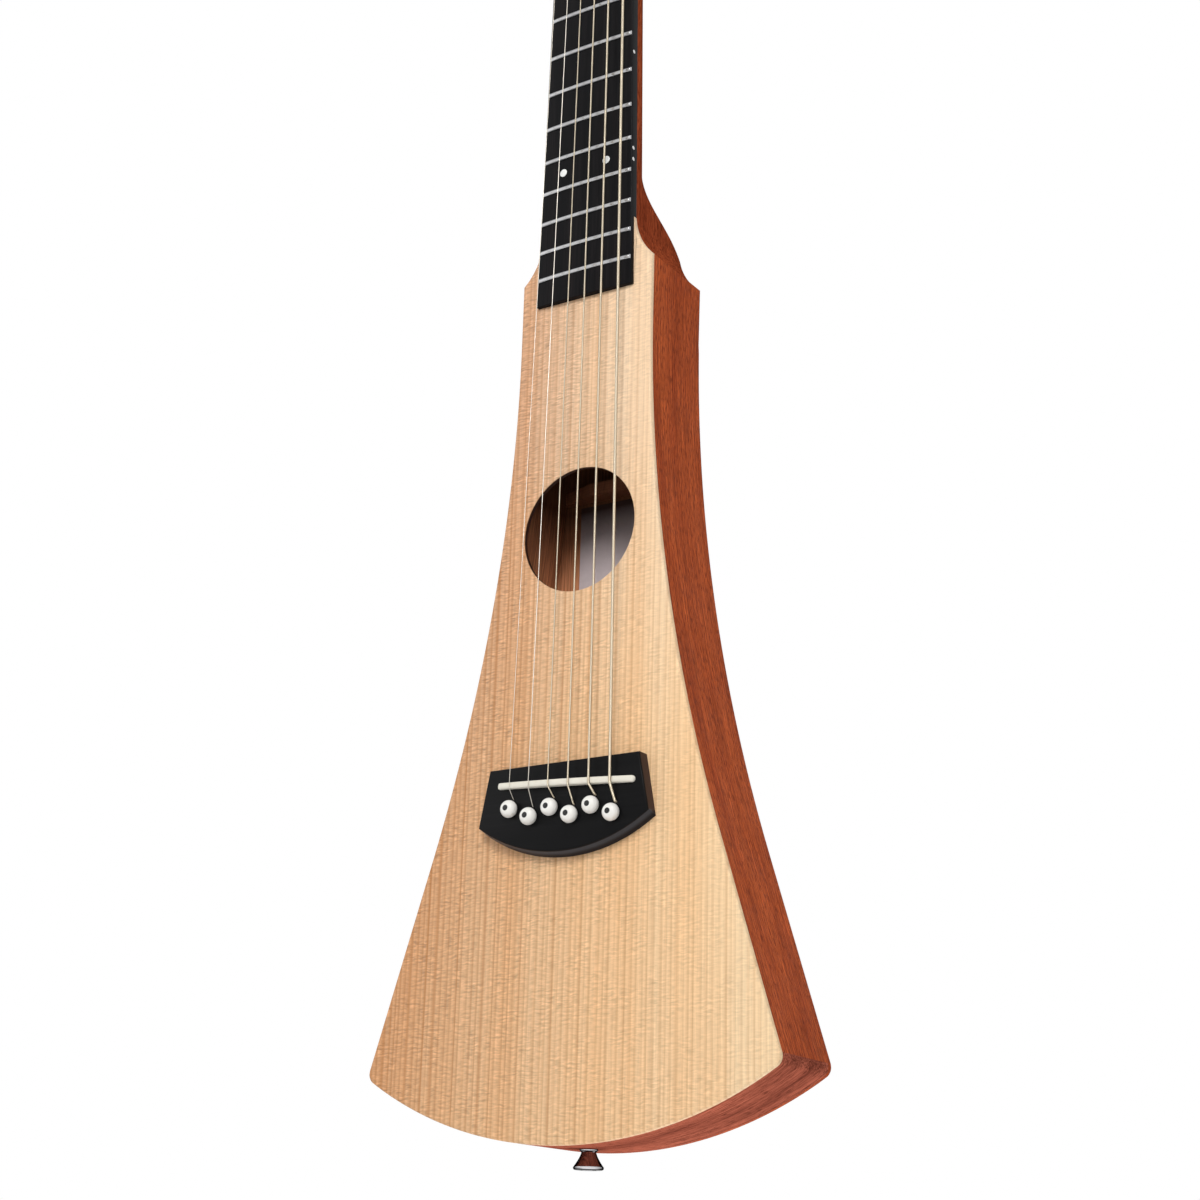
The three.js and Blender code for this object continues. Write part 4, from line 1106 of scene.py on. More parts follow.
@dataclass
class Body:
    """The soundbox: soundboard, sides, tail and back."""

    flare_delay: float = 35.5
    flare_radius: float = 850.0
    flare_angle: float = math.radians(17.5)
    tail_radius: float = 200.0
    corner_radius: float = 5.0
    tail_rim: float = 5.0
    block_half: float = 25.0
    block_thickness: float = 16.0
    soundhole_radius: float = 31.0
    soundhole_distance: float = 489.8
    horn_delay: float = 2.5
    rim_delay: float = 12.5
    edge_round: float = 1.1
    back_round: float = 0.5
    hole_round: float = 0.45

    def __post_init__(self) -> None:
        """Works out where the flare, the corners and the tail meet."""
        self.flare_start = LAYOUT.shoulder + self.flare_delay
        self.flare_end = self.flare_start + self.flare_radius * math.sin(self.flare_angle)
        self.centre = self.tail_radius - LAYOUT.tail
        self.corner = self.flare_meets(self.corner_radius, self.tail_radius - self.corner_radius)
        self.flare_stop = -self.corner[1] - self.corner_radius * math.sin(self.flare_angle)
        self.corner_angle = math.atan2(self.corner[1] - self.centre, self.corner[0])

    def bend(self, distance: float) -> float:
        """Gives how far the flare has turned outwards at a distance below the nut, in radians."""
        run = min(max(distance - self.flare_start, 0.0), self.flare_end - self.flare_start)
        return math.asin(run / self.flare_radius)

    def flare(self, distance: float, inset: float = 0.0) -> Point:
        """Gives the flare's edge at a distance below the nut.

        Args:
            distance: the distance.
            inset: how far inside the edge.

        Returns:
            X and Z.
        """
        bend = self.bend(distance)
        past = max(distance - self.flare_end, 0.0)
        x = LAYOUT.shoulder_width / 2 + self.flare_radius * (1 - math.cos(bend)) + past * math.tan(self.flare_angle)
        return (x - inset * math.cos(bend), -distance - inset * math.sin(bend))

    def flare_meets(self, inset: float, radius: float) -> Point:
        """Gives where a line inside the straight flare meets a circle about the tail's centre.

        Args:
            inset: how far the line lies inside the flare's edge.
            radius: the circle's radius.

        Returns:
            X and Z.
        """
        start = self.flare(self.flare_end, inset)
        along = (math.sin(self.flare_angle), -math.cos(self.flare_angle))
        offset = (start[0], start[1] - self.centre)
        half = offset[0] * along[0] + offset[1] * along[1]
        travel = -half + math.sqrt(half ** 2 - offset[0] ** 2 - offset[1] ** 2 + radius ** 2)
        return (start[0] + along[0] * travel, start[1] + along[1] * travel)

    def cove_curve(self, start: float) -> list[Point]:
        """Gives the cove's edge from a distance below the nut down to the shoulder."""
        return [(LAYOUT.cove_half(d), -d) for d in spaced(start, LAYOUT.shoulder, 14)]

    def flare_curve(self, inset: float = 0.0) -> list[Point]:
        """Gives the flare's edge from the shoulder to the corner."""
        distances = spaced(self.flare_start, self.flare_end, 40)
        return [self.flare(d, inset) for d in (LAYOUT.shoulder + LAYOUT.seam, *distances, self.flare_stop)]

    def corner_curve(self) -> list[Point]:
        """Gives the rounded lower corner."""
        radius, angles = self.corner_radius - LAYOUT.seam, spaced(self.flare_angle, self.corner_angle, 8)[1:]
        return [(self.corner[0] + radius * math.cos(a), self.corner[1] + radius * math.sin(a)) for a in angles]

    def tail_curve(self, radius: float, angle: float) -> list[Point]:
        """Gives the tail's arc at a radius, from one side to the other, without its ends."""
        angles = spaced(angle, -math.pi - angle, 56)[1:-1]
        return [(radius * math.cos(a), self.centre + radius * math.sin(a)) for a in angles]

    @staticmethod
    def mirrored(points: Sequence[Point]) -> list[Point]:
        """Gives points mirrored to the other side, in the opposite order."""
        return [(-x, z) for x, z in reversed(points)]

    def outline(self, upper: Sequence[Point]) -> list[Point]:
        """Gives the whole outline below some upper points of the right side."""
        side = [*upper, *self.flare_curve()[1:], *self.corner_curve()]
        return [*side, *self.tail_curve(self.tail_radius, self.corner_angle), *self.mirrored(side)]

    def soundboard(self) -> None:
        """Makes the spruce top with its soundhole, its notch for the fingerboard and a rounded edge."""
        horn = LAYOUT.cove_start + self.horn_delay
        end = LAYOUT.board_length + LAYOUT.seam
        notch = LAYOUT.board_half(end) + LAYOUT.seam
        hole = [(self.soundhole_radius * math.cos(a), self.soundhole_radius * math.sin(a) - self.soundhole_distance)
                for a in round_turn(96)]
        outline = self.outline([*self.cove_curve(horn), (LAYOUT.shoulder_width / 2, -LAYOUT.shoulder - 0.2)])
        blank = Blank()
        blank.prism([*outline, (-notch, -end), (notch, -end)], 0, LAYOUT.soundboard_thickness, [hole])
        limit = -LAYOUT.cove_start - self.rim_delay

        def is_hole(edge: Edge) -> bool:
            """Says whether an edge runs round the soundhole's outer face."""
            x, y, z = middle(edge)
            return abs(y) < NEAR and math.hypot(x, z + self.soundhole_distance) < self.soundhole_radius + 1

        def is_rim(edge: Edge) -> bool:
            """Says whether an edge runs along the outer face's rim, below the neck."""
            place = middle(edge)
            beside = abs(place.x) > LAYOUT.board_half(-place.z) + 1.0 or place.z < -LAYOUT.board_length - 5
            return abs(place.y) < NEAR and not is_hole(edge) and place.z < limit and beside

        blank.soften(self.hole_round, 2, is_hole)
        blank.soften(self.edge_round, 4, is_rim)
        blank.finish("top_of_spruce", SPRUCE, replaces=["soundboard"])

    def side(self, sign: int, name: str, node: str) -> None:
        """Makes one bent side.

        Args:
            sign: 1 for the bass side and -1 for the treble side.
            name: the piece's name.
            node: the node that it stands for.
        """
        loop = [*self.flare_curve(), *reversed(self.flare_curve(LAYOUT.side_thickness))]
        blank = Blank()
        blank.prism([(sign * x, z) for x, z in loop], LAYOUT.inner_front, LAYOUT.inner_back - LAYOUT.seam)

        def grain(place: Vector) -> Sequence[float]:
            """Runs the grain down the side as it bends.

            Args:
                place: a place on the side.

            Returns:
                Its place in the grain.
            """
            distance = -place.z
            past = max(distance - self.flare_end, 0.0) / math.cos(self.flare_angle)
            run = min(distance, self.flare_start) + self.flare_radius * self.bend(distance) + past
            return (place.x - sign * self.flare(distance)[0], place.y, -run)

        blank.follow(grain)
        blank.finish(name, MAHOGANY, replaces=[node], grain=Grain.BENT)

    def tail_piece(self) -> None:
        """Makes the curved tail with the block that holds the strap button."""
        edge, seam = self.flare(self.flare_stop), self.flare(self.flare_stop, LAYOUT.side_thickness)
        radius = self.tail_radius - self.tail_rim
        inner = self.flare_meets(LAYOUT.side_thickness, radius)
        arc = self.tail_curve(radius, math.atan2(inner[1] - self.centre, inner[0]))
        right = [edge, *self.corner_curve()]
        foot = self.centre - math.sqrt(radius ** 2 - self.block_half ** 2)
        inside = [seam, inner, *(p for p in arc if p[0] > self.block_half), (self.block_half, foot),
                  (self.block_half, self.block_thickness - LAYOUT.tail)]
        blank = Blank()
        blank.prism([*right, *self.tail_curve(self.tail_radius, self.corner_angle), *self.mirrored(right),
                     *reversed([*inside, *self.mirrored(inside)])],
                    LAYOUT.inner_front, LAYOUT.inner_back - LAYOUT.seam)

        def grain(place: Vector) -> Sequence[float]:
            """Runs the grain along the arc."""
            across = math.hypot(place.x, place.z - self.centre)
            return (place.y, across, math.atan2(place.x, self.centre - place.z) * self.tail_radius)

        blank.follow(grain)
        blank.finish("tail_rim", TAIL_MAHOGANY, replaces=["tail_block"], grain=Grain.BENT)

    def back(self) -> None:
        """Makes the flat back with its rounded edge."""
        blank = Blank()
        blank.prism(self.outline([self.flare(LAYOUT.shoulder + LAYOUT.seam)]), LAYOUT.inner_back, LAYOUT.body_depth)

        def is_outer(edge: Edge) -> bool:
            """Says whether an edge runs round the outer face, below the shoulders."""
            low = min(edge.verts, key=lambda corner: corner.co.y).co
            return low.y > LAYOUT.body_depth - NEAR and low.z < -LAYOUT.shoulder - 1

        blank.soften(self.back_round, 3, is_outer)
        blank.finish("back_of_mahogany", MAHOGANY, replaces=["back_plate"])

    def build(self) -> None:
        """Makes every piece of the soundbox."""
        self.soundboard()
        self.side(1, "bass_side", "side_bass")
        self.side(-1, "treble_side", "side_treble")
        self.tail_piece()
        self.back()


@dataclass
class Inside:
    """What shows through the soundhole."""

    card_left: float = -27.6
    card_right: float = 30.0
    card_top: float = -459.6
    card_bottom: float = -545.0
    card_thickness: float = 0.25
    card_lift: float = 0.02

    def build(self) -> None:
        """Makes the bare card and dresses the braces, the bridge plate and the rod."""
        blank = Blank()
        top = LAYOUT.inner_back - LAYOUT.seam
        corners = blank.block((self.card_left, top - self.card_thickness, self.card_bottom),
                              (self.card_right, top - self.card_lift, self.card_top))
        bmesh.ops.subdivide_edges(blank.mesh, edges=list({e for c in corners for e in c.link_edges}), cuts=6,
                                  use_grid_fill=True)
        blank.finish("bare_card", CARD)
        for node in ("top_brace_upper", "top_brace_lower", "back_brace_upper", "back_brace_lower"):
            Shop.dress(node, BRACE_SPRUCE, Grain.ACROSS)
        Shop.dress("bridge_plate", MAPLE, Grain.ACROSS)
        for node in ("truss_rod", "truss_nut"):
            Shop.dress(node, STEEL)


@dataclass
class Neck:
    """The neck with its heel and headstock, in one piece of wood."""

    depth_at_nut: float = 15.5
    depth_at_heel: float = 17.3
    heel_lead: float = 25.0
    heel_length: float = 32.0
    heel_power: float = 0.81
    squaring_power: float = 3.0
    round_neck: float = 2.75
    square_block: float = 20.0
    block_length: float = 46.0
    tilt: float = math.radians(12.0)
    head_length: float = 118.0
    head_width: float = 55.0
    head_top_width: float = 62.0
    head_thickness: float = 14.0
    head_blend: float = 22.0
    head_corner: float = 5.0
    nut_thickness: float = 5.0
    section_steps: int = 40

    @property
    def head_frame(self) -> Matrix:
        """Where the headstock's own frame lies."""
        return shift(0, LAYOUT.inner_front, self.nut_thickness) @ Matrix.Rotation(-self.tilt, 4, "X")

    def section(self, half: float, front: float, back: float, roundness: float) -> list[Point]:
        """Draws half a superellipse under a flat front.

        Args:
            half: half its width.
            front: Y of its flat front.
            back: Y of its deepest place.
            roundness: 2 for an ellipse, and more for squarer ones.

        Returns:
            X and Y of its points.
        """
        points = []
        for angle in spaced(0, math.pi, self.section_steps):
            wide = math.copysign(abs(math.cos(angle)) ** (2 / roundness), math.cos(angle))
            deep = max(math.sin(angle), 0.0) ** (2 / roundness)
            points.append((half * wide, front + (back - front) * deep))
        return points

    def shaft_ring(self, distance: float) -> list[Vector]:
        """Gives the neck's section.

        Args:
            distance: how far below the nut.

        Returns:
            Its places.
        """
        heel_start = LAYOUT.cove_start - self.heel_lead
        t = min(max((distance - heel_start) / self.heel_length, 0.0), 1.0)
        base = self.depth_at_nut + (self.depth_at_heel - self.depth_at_nut) * min(distance / heel_start, 1.0)
        depth = base + (LAYOUT.body_depth - self.depth_at_heel) * smooth(t ** self.heel_power)
        roundness = self.round_neck + (self.square_block - self.round_neck) * t ** self.squaring_power
        half = LAYOUT.cove_half(distance) if distance > LAYOUT.cove_start else LAYOUT.board_half(distance)
        return [Vector((x, y, -distance)) for x, y in self.section(half, LAYOUT.inner_front, depth, roundness)]

    def head_ring(self, height: float) -> list[Vector]:
        """Gives the headstock's section.

        Args:
            height: how far above its lower end.

        Returns:
            Its places.
        """
        t = smooth(height / self.head_blend)
        top = self.head_length - self.head_corner
        rise = (height - self.head_blend) / (top - self.head_blend)
        wide = self.head_width + (self.head_top_width - self.head_width) * min(max(rise, 0.0), 1.0)
        half = (LAYOUT.nut_width + (wide - LAYOUT.nut_width) * t) / 2
        over = max(height - top, 0.0)
        half += math.sqrt(max(self.head_corner ** 2 - over ** 2, 0.0)) - self.head_corner
        start = self.depth_at_nut - LAYOUT.inner_front
        depth = start + (self.head_thickness - start) * t
        roundness = self.round_neck + (self.square_block - self.round_neck) * min(height / self.head_blend, 1.0) ** 2
        return [self.head_frame @ Vector((x, y, height)) for x, y in self.section(half, 0.0, depth, roundness)]

    def build(self) -> None:
        """Makes the neck, heel, headstock and block."""
        heel_start = LAYOUT.cove_start - self.heel_lead
        heel = spaced(LAYOUT.shoulder, heel_start, 44)
        shaft = spaced(heel_start, 0.0, 12)[1:]
        blend = spaced(0.0, self.head_blend, 14)
        straight = spaced(self.head_blend, self.head_length - self.head_corner, 6)[1:]
        top = [self.head_length - self.head_corner * (1 - math.sin(a)) for a in spaced(0, math.pi / 2, 6)][1:]
        blank = Blank()
        blank.loft([*map(self.shaft_ring, (*heel, *shaft)), *map(self.head_ring, (*blend, *straight, *top))])
        half = LAYOUT.shoulder_width / 2 - LAYOUT.side_thickness - LAYOUT.seam
        blank.block((-half, LAYOUT.inner_front, -LAYOUT.shoulder - self.block_length),
                    (half, LAYOUT.inner_back - LAYOUT.seam, LAYOUT.seam - LAYOUT.shoulder))
        blank.finish("neck_and_head", NECK_MAHOGANY, replaces=["neck"], crease=40.0)


@dataclass(frozen=True)
class Dot:
    """A kind of round dot, let into the board and barely domed."""

    radius: float
    lip: float
    lip_rise: float
    crown: float
    steps: int
    depth: float = 0.4

    def make(self, name: str, place: Matrix) -> None:
        """Makes one dot.

        Args:
            name: its name.
            place: where it goes, with Z out of the board.
        """
        blank = Blank()
        blank.turned([(0, -self.depth), (self.radius, -self.depth), (self.radius, 0.0),
                      (self.radius - self.lip, self.lip_rise), (0, self.crown)], self.steps)
        blank.finish(name, PEARL, place=place)


@dataclass
class Fingerboard:
    """The black board with its frets, dots and nut."""

    fret_count: int = 15
    fret_width: float = 2.2
    fret_foot: float = 0.4
    fret_inset: float = 0.4
    fret_lean: float = 0.8
    fret_fullness: float = 0.8
    fret_end: float = 1.2
    fret_end_round: float = 0.12
    edge_round: float = 0.45
    face_dot: Dot = Dot(2.1, 0.08, 0.03, 0.05, 40)
    side_dot: Dot = Dot(1.0, 0.06, 0.02, 0.03, 28)
    side_dot_depth: float = -0.9
    face_dot_places: tuple[Point, ...] = ((-13.9, -295.6), (11.7, -295.6))
    side_dot_places: tuple[float, ...] = (-83.0, -139.5, -189.0, -236.3, -292.2, -298.5)

    def board(self) -> None:
        """Makes the crowned board with softened long edges."""
        low = LAYOUT.soundboard_thickness
        sections = []
        for z in spaced(0.0, -LAYOUT.board_length, 12):
            half = LAYOUT.board_half(-z)
            crown = [(x, LAYOUT.board_top(x), z) for x in spaced(-half, half, 16)]
            sections.append([*crown, (half, low, z), (-half, low, z)])
        blank = Blank()
        blank.loft(sections)
        blank.close()
        blank.soften(self.edge_round, 3, lambda edge: all(corner.co.y < 0 for corner in edge.verts))
        blank.finish("board", EBONY_LAMINATE, replaces=["fingerboard"])

    def fret(self, number: int) -> None:
        """Makes one fret: a round crown over the board, with its ends filed back.

        Args:
            number: its number, counted from the nut.
        """
        z, last = -LAYOUT.fret_distance(number), 12
        reach, half = LAYOUT.board_half(-z) - self.fret_inset, self.fret_width / 2
        sections = []
        for row, x in enumerate(spaced(-reach, reach, last)):
            top, filed = LAYOUT.board_top(x), (row == 0) - (row == last)
            section = []
            for angle in spaced(0, math.pi, 10):
                rise = LAYOUT.fret_height * math.sin(angle) ** self.fret_fullness
                lean = self.fret_lean * rise / LAYOUT.fret_height * filed
                section.append((x + lean, top - rise, z + half * math.cos(angle)))
            foot = top + self.fret_foot
            sections.append([*section, (x, foot, z - half), (x, foot, z + half)])
        blank = Blank()
        blank.loft(sections)
        blank.close()

        def is_end(edge: Edge) -> bool:
            """Says whether an edge lies at one of the two filed ends."""
            first, second = (corner.co.x for corner in edge.verts)
            return min(abs(first), abs(second)) > reach - self.fret_end and abs(first - second) < 0.9

        blank.soften(self.fret_end_round, 2, is_end, 30.0)
        blank.finish(f"fretwire_{number}", NICKEL, replaces=[f"fret_{number}"], grain=Grain.ACROSS)

    def dots(self) -> None:
        """Makes the round dots on the board's face and along its bass edge."""
        for number, (x, z) in enumerate(self.face_dot_places, 1):
            lean = Matrix.Rotation(math.asin(x / LAYOUT.board_radius), 4, "Z")
            place = shift(x, LAYOUT.board_top(x), z) @ lean @ Matrix.Rotation(QUARTER, 4, "X")
            self.face_dot.make(f"face_dot_{number}", place)
        for number, z in enumerate(self.side_dot_places, 1):
            place = shift(LAYOUT.board_half(-z), self.side_dot_depth, z) @ Matrix.Rotation(QUARTER, 4, "Y")
            self.side_dot.make(f"side_dot_{number}", place)

    def build(self) -> None:
        """Makes the board, frets and dots, and dresses the nut."""
        self.board()
        for number in range(1, self.fret_count + 1):
            self.fret(number)
        self.dots()
        Shop.dress("nut", BONE, Grain.ACROSS)


@dataclass
class Bridge:
    """The bridge with its saddle and pins."""

    thickness: float = 7.0
    top_width: float = 81.0
    corner_width: float = 91.4
    margin: float = 8.7
    side_length: float = 26.6
    bow: float = 14.4
    draft: float = 1.8
    edge_round: float = 0.8
    treble_compensation: float = 4.1
    bass_compensation: float = 7.3
    saddle_spread: float = 54.9
    saddle_length: float = 74.4
    saddle_shift: float = 1.9
    saddle_thickness: float = 3.0
    saddle_rise: float = 3.2
    saddle_seat: float = 3.4
    saddle_round: float = 0.45
    saddle_end_drop: float = 1.2
    pin_spread: float = 55.5
    pin_distance: float = 11.1
    pin_shift: float = 0.95
    slot_lean: float = math.radians(16.0)
    pin_stagger: float = 3.8
    pin_radius: float = 4.1
    pin_height: float = 5.2
    pin_length: float = 16.0
    dome_start: float = 1.9
    dome_fullness: float = 0.62
    dot_radius: float = 1.35
    pole_drop: float = 0.06

    @property
    def saddle_frame(self) -> Matrix:
        """Where the slanted saddle's own frame lies."""
        slant = math.atan((self.bass_compensation - self.treble_compensation) / self.saddle_spread)
        distance = LAYOUT.scale_length + (self.bass_compensation + self.treble_compensation) / 2
        return shift(0, 0, -distance) @ Matrix.Rotation(slant, 4, "Y")

    def pin_place(self, index: int) -> Vector:
        """Gives the middle of a pin at Y 0."""
        row = self.pin_distance + (index % 2) * self.pin_stagger
        return self.saddle_frame @ Vector((self.pin_spread * LAYOUT.string_share(index) + self.pin_shift, 0, -row))

    def slot_place(self, index: int) -> Vector:
        """Gives where a string goes down into the bridge, at Y 0."""
        reach = self.pin_radius + LAYOUT.string_diameters[index] / 2 + LAYOUT.slip
        return self.pin_place(index) + Vector((reach * math.sin(self.slot_lean), 0, reach * math.cos(self.slot_lean)))

    def crest(self, x: float) -> float:
        """Gives Y of the crowned saddle's top at x."""
        return LAYOUT.board_top(x) + LAYOUT.board_proud - self.thickness - self.saddle_rise

    def saddle_point(self, index: int) -> Vector:
        """Gives the top of the saddle under a string."""
        x = self.saddle_spread * LAYOUT.string_share(index)
        return self.saddle_frame @ Vector((x, self.crest(x), 0))

    def plate(self) -> None:
        """Makes the bridge: straight upper edge, splayed sides, bowed lower edge that leans out."""
        start = self.margin - LAYOUT.scale_length - self.treble_compensation
        chord = self.corner_width / 2
        radius = (chord ** 2 + self.bow ** 2) / (2 * self.bow)
        centre = start - self.side_length - self.bow + radius
        swing = math.asin(chord / radius)
        arc = [(radius * math.cos(a), centre + radius * math.sin(a))
               for a in spaced(swing - QUARTER, -swing - QUARTER, 48)]
        outline = [(-self.top_width / 2, start), (self.top_width / 2, start), *arc]
        blank = Blank()
        blank.loft([[(x, y, z - draft * (row > 1)) for row, (x, z) in enumerate(outline)]
                    for y, draft in ((-self.thickness, 0.0), (-LAYOUT.seam, self.draft))])
        blank.close()
        top = LAYOUT.seam - self.thickness
        blank.soften(self.edge_round, 3, lambda edge: all(corner.co.y < top for corner in edge.verts))
        blank.finish("bridge_body", BRIDGE_LAMINATE, replaces=["bridge"], grain=Grain.ACROSS)

    def saddle(self) -> None:
        """Makes the saddle: a crowned bar with round ends."""
        half, width, foot = self.saddle_length / 2, self.saddle_thickness / 2, self.saddle_seat - self.thickness
        ends = [-half + width * (1 - math.cos(a)) for a in spaced(0.2, QUARTER, 6)]
        sections = []
        for x in (*ends, *spaced(-half + width, half - width, 20)[1:-1], *(-p for p in reversed(ends))):
            inner = max(abs(x) - (half - width), 0.0)
            wide = math.sqrt(max(width ** 2 - inner ** 2, 0.01))
            top = self.crest(x) + self.saddle_end_drop * (inner / width) ** 2
            cap = [(wide * math.cos(a), top + wide * self.saddle_round * (1 - math.sin(a)))
                   for a in spaced(0, math.pi, 10)]
            sections.append([(x + self.saddle_shift, y, z) for z, y in (*cap, (-wide, foot), (wide, foot))])
        blank = Blank()
        blank.loft(sections)
        blank.finish("saddle_bar", BONE, replaces=["saddle"], grain=Grain.ACROSS, place=self.saddle_frame)

    def pin(self, index: int) -> None:
        """Makes one bridge pin and the dark dot on its head.

        Args:
            index: its number, from 0 at the treble side.
        """
        seat = self.thickness + LAYOUT.seam
        pole = self.pin_height - self.pole_drop
        dome = [(self.pin_radius * math.cos(a) ** self.dome_fullness,
                 seat + self.dome_start + (pole - self.dome_start) * math.sin(a))
                for a in spaced(0, QUARTER - 0.12, 12)]
        profile = [(0, seat - self.pin_length), (2.0, seat - self.pin_length), (2.45, seat - 0.3), (2.9, seat),
                   (3.4, seat + 0.2), (3.75, seat + 0.75), (3.7, seat + 1.1), (4.0, seat + 1.45), *dome,
                   (0, seat + pole)]
        place = Matrix.Translation(self.pin_place(index)) @ Matrix.Rotation(QUARTER, 4, "X")
        blank = Blank()
        blank.turned(profile, 40)
        blank.finish(f"pin_{index + 1}", PIN_WHITE, replaces=[f"bridge_pin_{index + 1}"], place=place)
        top, radius = seat + self.pin_height, self.dot_radius
        blank = Blank()
        blank.turned([(0, top - 0.5), (radius, top - 0.5), (radius, top - 0.06), (0, top - 0.01)], 24)
        blank.finish(f"pin_dot_{index + 1}", PIN_DOT, place=place)

    def build(self) -> None:
        """Makes the bridge, the saddle and the pins."""
        self.plate()
        self.saddle()
        for index in range(len(LAYOUT.string_diameters)):
            self.pin(index)


@dataclass
class TunerPlaces:
    """Where the six posts stand on the headstock."""

    inset: float = 19.0
    first: float = 24.0
    pitch: float = 33.0
    rows: int = 3
    post_radius: float = 3.0

    def post(self, index: int) -> tuple[int, float, float]:
        """Finds a post.

        Args:
            index: its string's number, from 0 at the treble side.

        Returns:
            Its side, and its x and height in the headstock's frame.
        """
        side = -1 if index < self.rows else 1
        row = index if index < self.rows else 2 * self.rows - 1 - index
        return side, side * self.inset, self.first + self.pitch * row


@dataclass
class Strings:
    """Six strings, each in one piece from its ball end to its last turn round the post."""

    bridge: Bridge
    neck: Neck
    places: TunerPlaces
    nut_spread: float = 37.2
    nut_action: float = 0.5
    lift: float = 0.1
    plain_count: int = 2
    wrap_turns: float = 2.2
    wrap_start: float = 4.2
    wrap_space: float = 0.5
    ball_radius: float = 1.9
    ball_length: float = 3.5
    ball_lip: float = 0.5
    plate_back: float = 5.6

    def bend(self, before: Vector, corner: Vector, after: Vector, reach: float, steps: int) -> list[Vector]:
        """Rounds a corner of a path.

        Args:
            before: the place before it.
            corner: the corner.
            after: the place after it.
            reach: how far from the corner the curve starts.
            steps: how many steps it has.

        Returns:
            The places of the curve.
        """
        start = corner + (before - corner).normalized() * reach
        end = corner + (after - corner).normalized() * reach
        return [(1 - t) ** 2 * start + 2 * t * (1 - t) * corner + t ** 2 * end for t in spaced(0, 1, steps)]

    def wrap(self, index: int, start: Vector) -> list[Vector]:
        """Winds a string round its post.

        Args:
            index: its number, from 0 at the treble side.
            start: the last place before the post.

        Returns:
            The places of the turns, from where the string meets the post.
        """
        side, x, z = self.places.post(index)
        radius = LAYOUT.string_diameters[index] / 2
        local = self.neck.head_frame.inverted() @ start
        reach = self.places.post_radius + LAYOUT.slip + radius
        away = math.atan2(local.z - z, local.x - x)
        angle = away - side * math.acos(reach / math.hypot(local.x - x, local.z - z))
        rise = (2 * radius + self.wrap_space) * self.wrap_turns
        wound = []
        for t in spaced(0, 1, round(self.wrap_turns * 32)):
            turn = angle - side * 2 * math.pi * self.wrap_turns * t
            wound.append(self.neck.head_frame @ Vector((x + reach * math.cos(turn), -self.wrap_start - rise * t,
                                                        z + reach * math.sin(turn))))
        return wound

    def string(self, index: int) -> None:
        """Makes one string with its ball end.

        Args:
            index: its number, from 0 at the treble side.
        """
        radius = LAYOUT.string_diameters[index] / 2
        over = radius + self.lift
        slot = self.bridge.slot_place(index)
        saddle = self.bridge.saddle_point(index) + Vector((0, -over, 0))
        x = self.nut_spread * LAYOUT.string_share(index)
        nut = Vector((x, LAYOUT.board_top(x) - LAYOUT.fret_height - self.nut_action - radius, 0))
        bottom = Vector((slot.x, self.plate_back, slot.z))
        mouth = Vector((slot.x, -self.bridge.thickness - over, slot.z))
        crest = saddle + Vector((0, 0, -self.bridge.saddle_thickness / 2))
        over_nut = nut + Vector((0, 0, self.neck.nut_thickness / 2))
        wrapped = self.wrap(index, over_nut)
        path = [bottom, *self.bend(bottom, mouth, crest, 0.8, 5), *self.bend(mouth, crest, saddle, 0.6, 4), saddle,
                *(saddle.lerp(nut, t) for t in spaced(0, 1, 24)[1:]),
                *self.bend(nut, over_nut, wrapped[0], 1.0, 5), *wrapped]
        blank = Blank()
        blank.tube(path, radius, 12)
        number = index + 1
        finish = PLAIN_WIRE if index < self.plain_count else WOUND_WIRE
        blank.finish(f"wire_{number}", finish, replaces=[f"string_{number}"], crease=60.0)
        rim, length, lip = self.ball_radius, self.ball_length, self.ball_lip
        ball = Blank()
        ball.turned([(0, 0), (rim * 0.8, 0), (rim, lip), (rim * 0.75, length / 2), (rim, length - lip),
                     (rim * 0.8, length), (0, length)], 24)
        place = Matrix.Translation(bottom) @ Matrix.Rotation(-QUARTER, 4, "X")
        ball.finish(f"ball_end_{number}", NICKEL, place=place)

    def build(self) -> None:
        """Makes the six strings."""
        for index in range(len(LAYOUT.string_diameters)):
            self.string(index)


@dataclass
class StrapButton:
    """The turned button at the tail and its screw."""

    length: float = 8.8
    end_radius: float = 6.8
    neck_radius: float = 3.3
    foot_radius: float = 4.2
    bore: float = 1.9
    recess_radius: float = 3.4
    recess: float = 2.2
    rim: float = 1.2
    flare_bend: float = 1.4

    def build(self) -> None:
        """Makes the button and dresses its screw."""
        reach = self.end_radius - self.neck_radius
        flare = [(self.neck_radius + reach * t ** self.flare_bend, -self.rim - (self.length - 2 * self.rim) * t)
                 for t in spaced(0, 1, 16)]
        end, rim, foot, seam = self.length, self.end_radius, self.foot_radius, LAYOUT.seam
        blank = Blank()
        blank.turned([(self.bore, -seam), (foot - 0.2, -seam), (foot, -0.25), (foot - 0.1, -0.6),
                      (self.neck_radius + 0.2, -0.95), *flare, (rim, 0.85 - end), (rim - 0.12, 0.4 - end),
                      (rim - 0.45, 0.1 - end), (rim - 0.9, -end), (self.recess_radius + 0.2, -end),
                      (self.recess_radius, 0.2 - end), (self.recess_radius, self.recess - end),
                      (self.bore, self.recess - end)], 64, closed=True)
        blank.finish("button", CHROME, replaces=["strap_button"], place=shift(0, LAYOUT.body_depth / 2, -LAYOUT.tail))
        Shop.dress("strap_screw", STEEL)


